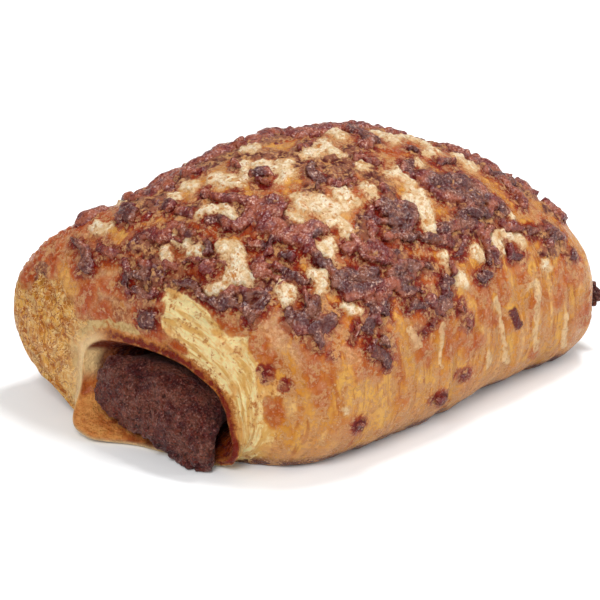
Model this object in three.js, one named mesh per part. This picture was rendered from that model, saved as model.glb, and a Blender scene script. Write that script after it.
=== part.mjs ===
// Pain au chocolat: a thick roll of layered dough, flat where it rests, round one bar of
// chocolate filling. The bar shows at both cut ends and sags out of the near one.
// Millimetres. +X runs along the roll from the near end to the far one, +Z is up and the long
// front side looks along -Y. An angle goes round the roll in degrees: 0 is the front, 90 the
// top, 180 the back and 270 the underside.
import * as THREE from 'three';
import { ParametricGeometry } from 'three/addons/geometries/ParametricGeometry.js';

const { degToRad, lerp, smoothstep, clamp } = THREE.MathUtils;

// The roll of dough
const HALF_LENGTH = 45.5;
const CROWN = 51.4;
const FRONT = -36.8;
const BACK = 44.9;
const WAIST = 19.4;
const SUNK = 4.9;
const NEAR_TAPER = { height: 0.735, front: 0.9, back: 1.18 };
const FAR_TAPER = { height: 0.72, front: 1.0, back: 0.87 };
const ROLL_SQUARENESS = { upper: 2.07, lower: 3, lowerRear: 2.1 };
const SHOULDER_SLUMP = 0.36;
const SHOULDER_BULGE = 0.42;

// The two mouths that the filling shows in, as limits across and up
const NEAR_MOUTH = { front: -15.4, back: 22.3, bottom: 1.7, top: 20.0 };
const FAR_MOUTH = { front: -29.5, back: 5.0, bottom: 6.5, top: 20.5 };
const MOUTH_SQUARENESS = { upper: 2.5, lower: 2.5 };
const THROAT_SQUARENESS = { upper: 2.0, upperRear: 2.5, lower: 2.5 };
const LIP_SQUARENESS = { upper: 1.95, upperRear: 3.3, lower: 3.5 };
const FILLING_SQUARENESS = { upper: 1.7, upperRear: 2.8, lower: 2.6, lowerRear: 1.9 };
const LIP_SPLAY = 0.36;
const SHEET = 1.7;
const FUNNEL = 1.8;
const TUNNEL_INSET = 2.5;

// The near cut face, and the sheet of dough that lies out under the filling
const NEAR_RIM = {
  front: -22,
  back: 47.4,
  waist: 17,
  top: 32.3,
  bottom: -1.4,
  upper: 2.3,
  upperRear: 2.75,
  lower: 3,
  lowerRear: 1.85,
};
const LIP_REACH = 4.3;
const FLAP_REACH = 6.8;
const LAYER_COUNT = 4;
const LAYER_RELIEF = 0.4;

// The crust's relief
const DARK_HEIGHT = 1.3;
const PALE_HEIGHT = 0.7;
const RIDGE_HEIGHT = 0.8;
const CLUMP_SKIRT = 0.6;

// Mesh fineness
const COLUMNS = 70;
const TOP_SHARE = 0.35;
const DENSEST_ANGLE = 75;
const FILLING_COLUMNS = 26;
const FILLING_ROWS = 24;

// Baked-on clumps of dark crumble: width, then places as distance along X and angle
const DARK_CLUMPS = [
  [3.0, [-33, 114], [-29, 106]],
  [2.2, [-42, 125], [-43, 116]],
  [3.0, [-41, 112], [-40, 108]],
  [2.8, [-40, 104], [-38, 96], [-38, 88]],
  [2.6, [-43, 104], [-43, 97]],
  [2.6, [-43, 88], [-43.5, 80], [-42, 72], [-41, 67], [-41.5, 61]],
  [2.6, [-33, 86], [-32, 80], [-30, 75]],
  [2.8, [-27, 92], [-26, 85], [-26, 79], [-23, 76]],
  [2.4, [-30, 105], [-29, 98]],
  [2.5, [-18, 91], [-16, 88]],
  [2.6, [-20, 123], [-14, 118], [-8, 116]],
  [2.8, [-28, 72], [-27, 67], [-29, 62]],
  [2.4, [-35, 66], [-33, 61], [-32, 57]],
  [2.5, [-37, 60], [-35, 55], [-33, 50]],
  [3.6, [-39, 42], [-37, 36], [-34, 31]],
  [2.6, [-36.5, 28], [-36.5, 24]],
  [3.4, [-28, 43], [-24, 41], [-20, 37], [-15, 34]],
  [2.8, [-29, 38], [-24, 34], [-19, 31]],
  [2.4, [-25, 28], [-28, 24], [-28.5, 17], [-26, 9]],
  [2.6, [-33, 55], [-31, 51], [-30, 46]],
  [2.4, [-26, 51], [-22, 48], [-18, 44], [-15, 41]],
  [3.2, [-21, 54], [-17, 52], [-12, 50], [-9, 45]],
  [3.4, [-16, 64], [-13, 58], [-10, 53]],
  [3.0, [-27, 67], [-24, 62]],
  [2.6, [-18, 78], [-14, 75]],
  [3.0, [-10, 84], [-6, 80], [-2, 77], [3, 73]],
  [2.8, [2, 69], [6, 64], [9, 60]],
  [3.0, [8, 60], [11, 56], [14, 53]],
  [3.2, [12, 51], [15, 47], [18, 43]],
  [2.6, [1, 44], [4, 41], [8, 40]],
  [2.6, [13, 40], [17, 38], [20, 41]],
  [2.2, [16, 28], [18, 27]],
  [2.2, [6.5, 21], [6.5, 19]],
  [2.0, [-6, 24], [-3, 25], [-1, 27]],
  [2.3, [-14, 18], [-11, 17], [-7, 17]],
  [1.7, [17, 5], [17.5, 0]],
  [1.8, [34, 23], [34.5, 21]],
  [3.0, [22, 62], [27, 58], [32, 54]],
  [3.0, [36, 52], [38, 46], [38, 40]],
  [2.6, [30, 40], [34, 36], [38, 33]],
  [2.8, [25, 50], [28, 45], [30, 41]],
  [2.4, [21, 34], [28, 33], [31, 30]],
  [3.0, [6, 99], [12, 92], [18, 86]],
  [2.6, [14, 80], [20, 76], [26, 72]],
  [2.6, [28, 66], [34, 62], [38, 58]],
  [2.8, [-2, 108], [4, 112], [9, 118]],
  [2.6, [14, 104], [20, 110], [24, 106]],
  [2.8, [-22, 134], [-15, 131], [-9, 136]],
  [2.6, [2, 130], [9, 133], [15, 127]],
  [2.4, [24, 124], [28, 117], [32, 110]],
  [2.6, [-33, 131], [-30, 137]],
  [2.4, [-6, 149], [-2, 152]],
  [2.4, [20, 144], [24, 139]],
  [2.2, [31, 92], [35, 86]],
];

// Baked-on patches of pale paste, in the same form
const PALE_PATCHES = [
  [2.6, [-22, 101], [-20, 95]],
  [2.2, [-14, 89], [-13, 84]],
  [2.4, [-9, 90], [-11, 86]],
  [3.2, [-22, 72], [-19, 68], [-18, 62]],
  [2.4, [3, 61], [2, 55], [0, 49], [0, 45]],
  [2.8, [-42, 77], [-40, 71]],
  [2.0, [-38, 80], [-35, 75]],
  [2.6, [-39, 53], [-36, 47]],
  [2.0, [-38, 121], [-36, 117]],
  [2.4, [10, 72], [16, 66]],
  [2.4, [-14, 124], [-10, 127]],
  [2.4, [18, 118], [14, 121]],
];

// Blistered ridges that run down the front wall
const BLISTER_RIDGES = [
  [1.6, [12.5, 2], [13, -10]],
  [1.6, [23, 14], [24.5, 6], [24, -1]],
  [1.6, [33, -2], [33.5, -11]],
];

// A place on a superellipse whose upper and lower halves, front and rear, can differ in squareness
function section(angle, shape) {
  const across = Math.cos(degToRad(angle));
  const up = Math.sin(degToRad(angle));
  const rear = 1 - smoothstep(across, -0.35, 0.35);
  const upper = lerp(shape.upper, shape.upperRear ?? shape.upper, rear);
  const lower = lerp(shape.lower, shape.lowerRear ?? shape.lower, rear);
  const middle = (shape.front + shape.back) / 2;
  const reach = (shape.back - shape.front) / 2;
  const power = 2 / (up >= 0 ? upper : lower);
  const rise = up >= 0 ? shape.top - shape.waist : shape.bottom - shape.waist;
  return {
    y: middle - reach * Math.sign(across) * Math.abs(across) ** power,
    z: shape.waist + rise * Math.abs(up) ** power,
  };
}

const between = (first, second, share) => ({
  y: lerp(first.y, second.y, share),
  z: lerp(first.z, second.z, share),
});

// The dough's outer outline at a share of the half length, from -1 at the near rim to 1
function roll(angle, share, inset = 0) {
  const taper = share < 0 ? NEAR_TAPER : FAR_TAPER;
  const ends = Math.abs(share) ** 2.5;
  const height = 1 - (1 - taper.height) * ends;
  const slump = smoothstep(-share, 0.1, 0.45) * (1 - 0.85 * smoothstep(-share, 0.55, 0.85));
  const bulge = SHOULDER_BULGE * smoothstep(-share, 0.6, 0.86);
  return section(angle, {
    front: FRONT * (1 - (1 - taper.front) * ends) + inset,
    back: BACK * (1 - (1 - taper.back) * ends) - inset,
    waist: WAIST * lerp(1, height, 0.6),
    top: CROWN * height - inset,
    bottom: inset - SUNK,
    ...ROLL_SQUARENESS,
    upperRear: ROLL_SQUARENESS.upper - SHOULDER_SLUMP * slump + bulge,
  });
}

// The outline of a mouth, grown outward by a distance
function mouth(angle, limits, grow = 0, squareness = MOUTH_SQUARENESS) {
  return section(angle, {
    front: limits.front - grow,
    back: limits.back + grow,
    bottom: limits.bottom - grow,
    top: limits.top + grow,
    waist: (limits.bottom + limits.top) / 2,
    ...squareness,
  });
}

// The near lip, whose front side splays out towards the table
function nearLip(angle, grow) {
  const { y, z } = mouth(angle, NEAR_MOUTH, grow, LIP_SQUARENESS);
  const below = Math.max((NEAR_MOUTH.bottom + NEAR_MOUTH.top) / 2 - z, 0);
  return { y: y - LIP_SPLAY * below * (1 - smoothstep(y, -14, -2)), z };
}

// The hollow that the filling runs through, between the two mouths
function tunnel(angle, share, grow) {
  const way = (share + 1) / 2;
  const limits = {};
  for (const side of Object.keys(NEAR_MOUTH)) {
    limits[side] = lerp(NEAR_MOUTH[side], FAR_MOUTH[side], way);
  }
  return mouth(angle, limits, grow);
}

// How far the lower sheet of dough lies out past the near mouth, from 0 to 1
const flapShare = (angle) => smoothstep(angle, 170, 232) * (1 - smoothstep(angle, 245, 282));
const funnelShare = (angle) => smoothstep(angle, 120, 165) * (1 - smoothstep(angle, 185, 225));
const lipX = (angle) => -HALF_LENGTH - LIP_REACH - FLAP_REACH * flapShare(angle);
const throat = (angle) => mouth(angle, NEAR_MOUTH, -1.2 - FUNNEL * funnelShare(angle), THROAT_SQUARENESS);
const nearRim = (angle) => section(angle, NEAR_RIM);
const nearFace = (angle, share) => between(nearLip(angle, SHEET), nearRim(angle), share);
const farRim = (angle) => roll(angle, 1, 2.2);
const farFace = (angle, share) => between(mouth(angle, FAR_MOUTH, 1.5), farRim(angle), share);
const ring = (x, outline, rows) => ({ x, outline, rows });
const rollRing = (share, rows) => ring(HALF_LENGTH * share, (angle) => roll(angle, share), rows);

// The rings that guide the dough's surface: through the tunnel to the near end, over the near
// face, back along the outside, over the far face and into the tunnel again
const RINGS = [
  ring(0, (angle) => tunnel(angle, 0, -1.6 * TUNNEL_INSET), 2),
  ring(12 - HALF_LENGTH, (angle) => tunnel(angle, -0.75, -TUNNEL_INSET), 2),
  ring((angle) => -HALF_LENGTH - 0.5 - 3 * flapShare(angle), throat, 1),
  ring((angle) => lipX(angle) + 1.3, (angle) => nearLip(angle, 0), 1),
  ring((angle) => lipX(angle) - 0.2, (angle) => nearLip(angle, 0.4 * SHEET), 1),
  ring((angle) => lipX(angle) + 0.4, (angle) => nearLip(angle, SHEET), 1),
  ring((angle) => lipX(angle) + 0.7 + 5.3 * flapShare(angle), (angle) => nearFace(angle, 0.13), 3),
  ring(-HALF_LENGTH - 3.6, (angle) => nearFace(angle, 0.42), 4),
  ring(-HALF_LENGTH - 2.6, (angle) => nearFace(angle, 0.75), 3),
  ring(-HALF_LENGTH - 0.6, nearRim, 2),
  ring(2.4 - HALF_LENGTH, (angle) => between(nearRim(angle), roll(angle, -0.92), 0.62), 2),
  ring(HALF_LENGTH * -0.82, (angle) => roll(angle, -0.82, 0.8), 1),
  rollRing(-0.66, 4),
  rollRing(-0.42, 4),
  rollRing(-0.14, 4),
  rollRing(0.14, 4),
  rollRing(0.42, 4),
  rollRing(0.68, 3),
  rollRing(0.86, 2),
  ring(HALF_LENGTH - 1.8, (angle) => roll(angle, 0.96, 0.3), 1),
  ring(HALF_LENGTH + 1.0, farRim, 1),
  ring(HALF_LENGTH + 3.0, (angle) => farFace(angle, 0.7), 1),
  ring(HALF_LENGTH + 4.0, (angle) => farFace(angle, 0.3), 1),
  ring(HALF_LENGTH + 4.4, (angle) => mouth(angle, FAR_MOUTH, 1.5), 1),
  ring(HALF_LENGTH + 4.6, (angle) => mouth(angle, FAR_MOUTH, 0.7), 1),
  ring(HALF_LENGTH + 3.4, (angle) => mouth(angle, FAR_MOUTH), 2),
  ring(HALF_LENGTH - 8, (angle) => tunnel(angle, 0.8, -2), 2),
];
const FACE_START = 6;
const FACE_END = 9;
const CRUST_START = 8;
const CRUST_END = 20;

const ringPoint = (guide, angle) => {
  const { y, z } = guide.outline(angle);
  const x = typeof guide.x === 'function' ? guide.x(angle) : guide.x;
  return new THREE.Vector3(x, y, z);
};

// The weights of a uniform cubic B-spline's four neighbours
const splineWeights = (share) => [
  (1 - share) ** 3 / 6,
  (3 * share ** 3 - 6 * share ** 2 + 4) / 6,
  (-3 * share ** 3 + 3 * share ** 2 + 3 * share + 1) / 6,
  share ** 3 / 6,
];

// A place on the smooth dough, where the whole part of place counts rings
function doughPoint(place, angle) {
  const first = Math.floor(place);
  const weights = splineWeights(place - first);
  const point = new THREE.Vector3();
  weights.forEach((weight, step) => {
    const guide = RINGS[(first - 1 + step + RINGS.length) % RINGS.length];
    point.addScaledVector(ringPoint(guide, angle), weight);
  });
  return point;
}

function doughNormal(place, angle) {
  const along = doughPoint(place + 0.02, angle).sub(doughPoint(place - 0.02, angle));
  const round = doughPoint(place, angle + 0.5).sub(doughPoint(place, angle - 0.5));
  return along.cross(round).normalize();
}

// The place on the crust at a distance along X and an angle, found by halving
function crustPoint(x, angle) {
  let low = CRUST_START;
  let high = CRUST_END;
  for (let step = 0; step < 16; step += 1) {
    const middle = (low + high) / 2;
    if (doughPoint(middle, angle).x < x) {
      low = middle;
    } else {
      high = middle;
    }
  }
  return doughPoint(low, angle);
}

// A clump becomes the line segments between its places
const clumpLines = (clumps) => clumps.flatMap(([width, ...places]) => {
  const points = places.map(([x, angle]) => crustPoint(x, angle));
  return points.slice(1).map((end, index) => ({ width, line: new THREE.Line3(points[index], end) }));
});
const RELIEF = [
  { height: DARK_HEIGHT, lines: clumpLines(DARK_CLUMPS) },
  { height: PALE_HEIGHT, lines: clumpLines(PALE_PATCHES) },
  { height: RIDGE_HEIGHT, lines: clumpLines(BLISTER_RIDGES) },
];

// How far the crust stands out at a point, as the highest of the clumps there
function crustRelief(point) {
  const nearest = new THREE.Vector3();
  let relief = 0;
  for (const { height, lines } of RELIEF) {
    for (const { width, line } of lines) {
      line.closestPointToPoint(point, true, nearest);
      const share = 1 - (nearest.distanceTo(point) / (width + CLUMP_SKIRT)) ** 2;
      relief = Math.max(relief, height * Math.sqrt(clamp(share, 0, 1)));
    }
  }
  return relief;
}

// The edges of the dough's layers on the near cut face
function layerRelief(place) {
  const share = (place - FACE_START) / (FACE_END - FACE_START);
  if (share <= 0 || share >= 1) {
    return 0;
  }
  return LAYER_RELIEF * Math.sin(Math.PI * share) * Math.sin(2 * Math.PI * LAYER_COUNT * share);
}

// Closed meshes whose faces point out
function faceOutward(geometry) {
  const position = geometry.attributes.position;
  const index = geometry.index.array;
  const corners = [new THREE.Vector3(), new THREE.Vector3(), new THREE.Vector3()];
  let volume = 0;
  for (let start = 0; start < index.length; start += 3) {
    corners.forEach((corner, side) => corner.fromBufferAttribute(position, index[start + side]));
    volume += corners[0].dot(corners[1].clone().cross(corners[2]));
  }
  if (volume < 0) {
    for (let start = 0; start < index.length; start += 3) {
      [index[start], index[start + 1]] = [index[start + 1], index[start]];
    }
  }
  geometry.computeVertexNormals();
  return geometry;
}

// The places of the mesh's rows, with the rows that each ring asks for
const rowPlaces = RINGS.flatMap(({ rows }, index) => (
  Array.from({ length: rows }, (_, row) => index + row / rows)
));

// The angle of a column, with the columns closest together over the top
function columnAngle(share) {
  const turn = share - (TOP_SHARE / (2 * Math.PI)) * Math.sin(2 * Math.PI * (share - DENSEST_ANGLE / 360));
  return ((turn * 360) % 360 + 360) % 360;
}

function pastryGeometry() {
  const surface = (columnShare, rowShare, target) => {
    const angle = columnAngle(columnShare % 1);
    const place = rowPlaces[Math.round(rowShare * rowPlaces.length) % rowPlaces.length];
    target.copy(doughPoint(place, angle));
    const onCrust = place > CRUST_START && place < CRUST_END;
    const relief = (onCrust ? crustRelief(target) : 0) + layerRelief(place);
    target.addScaledVector(doughNormal(place, angle), relief);
    target.z = Math.max(target.z, 0);
  };
  return faceOutward(new ParametricGeometry(surface, COLUMNS, rowPlaces.length));
}

// The outlines that guide the filling's skin, from the near lump to the far tip
function fillingGuide(x, front, back, bottom, top, lean = 0) {
  return { x, limits: { front, back, bottom, top }, lean };
}
const FILLING_GUIDES = [
  fillingGuide(-HALF_LENGTH - 8.8, -9.0, 6.0, 3.4, 12.0, 1),
  fillingGuide(-HALF_LENGTH - 8.4, -13.2, 13.0, -1.2, 14.6, 1),
  fillingGuide(-HALF_LENGTH - 6.0, -14.6, 18.4, -2.2, 16.8, 1),
  fillingGuide(-HALF_LENGTH - 3.2, -13.4, 19.2, 3.0, 17.6, 0.5),
  fillingGuide(-HALF_LENGTH - 0.4, -11.8, 17.6, 5.2, 17.0),
  fillingGuide(-HALF_LENGTH + 5.0, -12.0, 16.6, 6.2, 15.6),
  fillingGuide(-HALF_LENGTH * 0.6, -12.6, 14.4, 7.4, 15.8),
  fillingGuide(0, -18.6, 8.4, 8.6, 15.8),
  fillingGuide(HALF_LENGTH * 0.6, -22.8, 3.6, 9.8, 16.2),
  fillingGuide(HALF_LENGTH * 0.93, -26.8, 1.8, 9.0, 17.8),
  fillingGuide(HALF_LENGTH + 4.6, -28.2, 3.4, 7.8, 18.8),
  fillingGuide(HALF_LENGTH + 7.6, -33.0, 1.0, 6.2, 18.4),
  fillingGuide(HALF_LENGTH + 8.8, -30.6, -4.0, 7.8, 16.8),
];
const SHEET_GAP = 1.75;
const TABLE_GAP = 0.3;
const LUMP_SKEW = 0.3;

// The height of the near mouth's lower edge at a place across, and the gap over it
function sheetTop(y) {
  const { front, back, bottom, top } = NEAR_MOUTH;
  const across = clamp((2 * y - front - back) / (back - front), -0.95, 0.95);
  const drop = Math.sqrt(1 - Math.abs(across) ** 3);
  return (bottom + top) / 2 - (top - bottom) / 2 * drop + SHEET_GAP;
}

// A place on the filling's skin, held clear of the table and of the sheet of dough under it
function fillingPoint(place, angle) {
  const last = FILLING_GUIDES.length - 1;
  const first = Math.floor(place);
  const point = new THREE.Vector3();
  splineWeights(place - first).forEach((weight, step) => {
    const row = FILLING_GUIDES[clamp(first - 1 + step, 0, last)];
    const { y, z } = mouth(angle, row.limits, 0, FILLING_SQUARENESS);
    const below = Math.max((row.limits.bottom + row.limits.top) / 2 - z, 0);
    const across = y - LUMP_SKEW * row.lean * below;
    const forward = 2.4 * (1 - smoothstep(across, -16, 4)) - 3.0 * (1 - smoothstep(z, -2, 8));
    point.addScaledVector(new THREE.Vector3(row.x - row.lean * forward, across, z), weight);
  });
  const edge = HALF_LENGTH + LIP_REACH + FLAP_REACH * smoothstep(point.y, -4, 16);
  const pastLip = smoothstep(-point.x, edge + 0.4, edge + 1.6);
  const offSheet = 1 - smoothstep(point.y, 2, 7);
  point.z = Math.max(point.z, lerp(sheetTop(point.y), TABLE_GAP, pastLip * offSheet));
  return point;
}

function fillingGeometry() {
  const geometry = new THREE.SphereGeometry(1, FILLING_COLUMNS, FILLING_ROWS);
  const { position, uv } = geometry.attributes;
  const last = FILLING_GUIDES.length - 1;
  for (let vertex = 0; vertex < position.count; vertex += 1) {
    const row = Math.round((1 - uv.getY(vertex)) * FILLING_ROWS);
    const column = Math.round(uv.getX(vertex) * FILLING_COLUMNS);
    const atEnd = row === 0 || row === FILLING_ROWS;
    const place = atEnd ? row / FILLING_ROWS * last : (row - 1) / (FILLING_ROWS - 2) * last;
    const point = fillingPoint(place, (column % FILLING_COLUMNS) / FILLING_COLUMNS * 360);
    if (atEnd) {
      const across = fillingPoint(place, 90).add(fillingPoint(place, 270)).multiplyScalar(0.5);
      point.copy(across);
      point.x += row === 0 ? -0.4 : 0.4;
    }
    position.setXYZ(vertex, point.x, point.y, point.z);
  }
  return faceOutward(geometry);
}

// Materials
const bakedDough = new THREE.MeshStandardMaterial({ color: 0xb8743a, roughness: 0.5, metalness: 0 });
const chocolate = new THREE.MeshStandardMaterial({ color: 0x4a2620, roughness: 0.8, metalness: 0 });

const pastry = new THREE.Mesh(pastryGeometry(), bakedDough);
pastry.name = 'pastry';
const filling = new THREE.Mesh(fillingGeometry(), chocolate);
filling.name = 'filling';

// The origin is under the middle of the whole part, on the table
const painAuChocolat = new THREE.Group();
painAuChocolat.add(pastry, filling);
const middle = new THREE.Box3().setFromObject(painAuChocolat).getCenter(new THREE.Vector3());
painAuChocolat.position.set(-middle.x, -middle.y, 0);

export default painAuChocolat;
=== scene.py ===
"""A pain au chocolat on a pale studio floor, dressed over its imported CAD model.

Shapes are worked out in millimetres round the roll and turned into metres as each mesh is made.
+X runs along the roll from the near end to the far one, +Z is up and -Y looks out of the long
front side. An angle goes round the roll in degrees: 0 is the front, 90 the top, 180 the back and
270 the underside.
"""
import itertools
import math

import bpy
import numpy as np
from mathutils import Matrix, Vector

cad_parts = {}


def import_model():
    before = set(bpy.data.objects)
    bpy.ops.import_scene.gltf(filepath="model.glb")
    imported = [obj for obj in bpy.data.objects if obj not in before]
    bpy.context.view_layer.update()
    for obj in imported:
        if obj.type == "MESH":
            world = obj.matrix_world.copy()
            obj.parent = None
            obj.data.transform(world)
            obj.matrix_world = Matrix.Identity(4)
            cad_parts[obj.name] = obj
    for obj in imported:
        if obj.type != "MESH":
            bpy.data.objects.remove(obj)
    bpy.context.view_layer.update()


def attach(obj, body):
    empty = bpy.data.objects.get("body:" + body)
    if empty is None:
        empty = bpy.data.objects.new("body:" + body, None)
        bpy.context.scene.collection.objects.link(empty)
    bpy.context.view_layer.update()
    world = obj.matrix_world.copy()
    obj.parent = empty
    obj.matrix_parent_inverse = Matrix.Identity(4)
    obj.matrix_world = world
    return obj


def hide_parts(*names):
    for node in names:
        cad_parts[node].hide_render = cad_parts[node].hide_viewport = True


MM = 0.001

# The roll of dough, as in the imported CAD model
HALF_LENGTH = 45.5
CROWN = 51.4
FRONT = -36.8
BACK = 44.9
WAIST = 19.4
SUNK = 4.9
NEAR_TAPER = {"height": 0.735, "front": 0.9, "back": 1.18}
FAR_TAPER = {"height": 0.72, "front": 1.0, "back": 0.87}
ROLL_SQUARENESS = 2.07
ROLL_LOWER = (3.0, 2.1)
SHOULDER_SLUMP = 0.36
SHOULDER_BULGE = 0.42
NEAR_MOUTH = {"front": -15.4, "back": 22.3, "bottom": 1.7, "top": 20.0}
FAR_MOUTH = {"front": -29.5, "back": 5.0, "bottom": 6.5, "top": 20.5}
NEAR_RIM = {
    "front": -22.0, "back": 47.4, "waist": 17.0, "top": 32.3, "bottom": -1.4,
    "upper": 2.3, "upper_rear": 2.75, "lower": 3.0, "lower_rear": 1.85,
}
SHEET = 1.7
THROAT_SQUARENESS = {"upper": 2.0, "upper_rear": 2.5, "lower": 2.5}
LIP_SQUARENESS = {"upper": 1.95, "upper_rear": 3.3, "lower": 3.5}
FILLING_SQUARENESS = {"upper": 1.7, "upper_rear": 2.8, "lower": 2.6, "lower_rear": 1.9}
LIP_SPLAY = 0.36
FUNNEL = 1.8
TUNNEL_INSET = 2.5
LIP_REACH = 4.3
FLAP_REACH = 6.8
SHEET_GAP = 1.75
TABLE_GAP = 0.3
LUMP_SKEW = 0.3

# Where the CAD model's origin lies, in the roll's own millimetres
ORIGIN = np.array([-0.975, 5.7898, 0.0])

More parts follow.
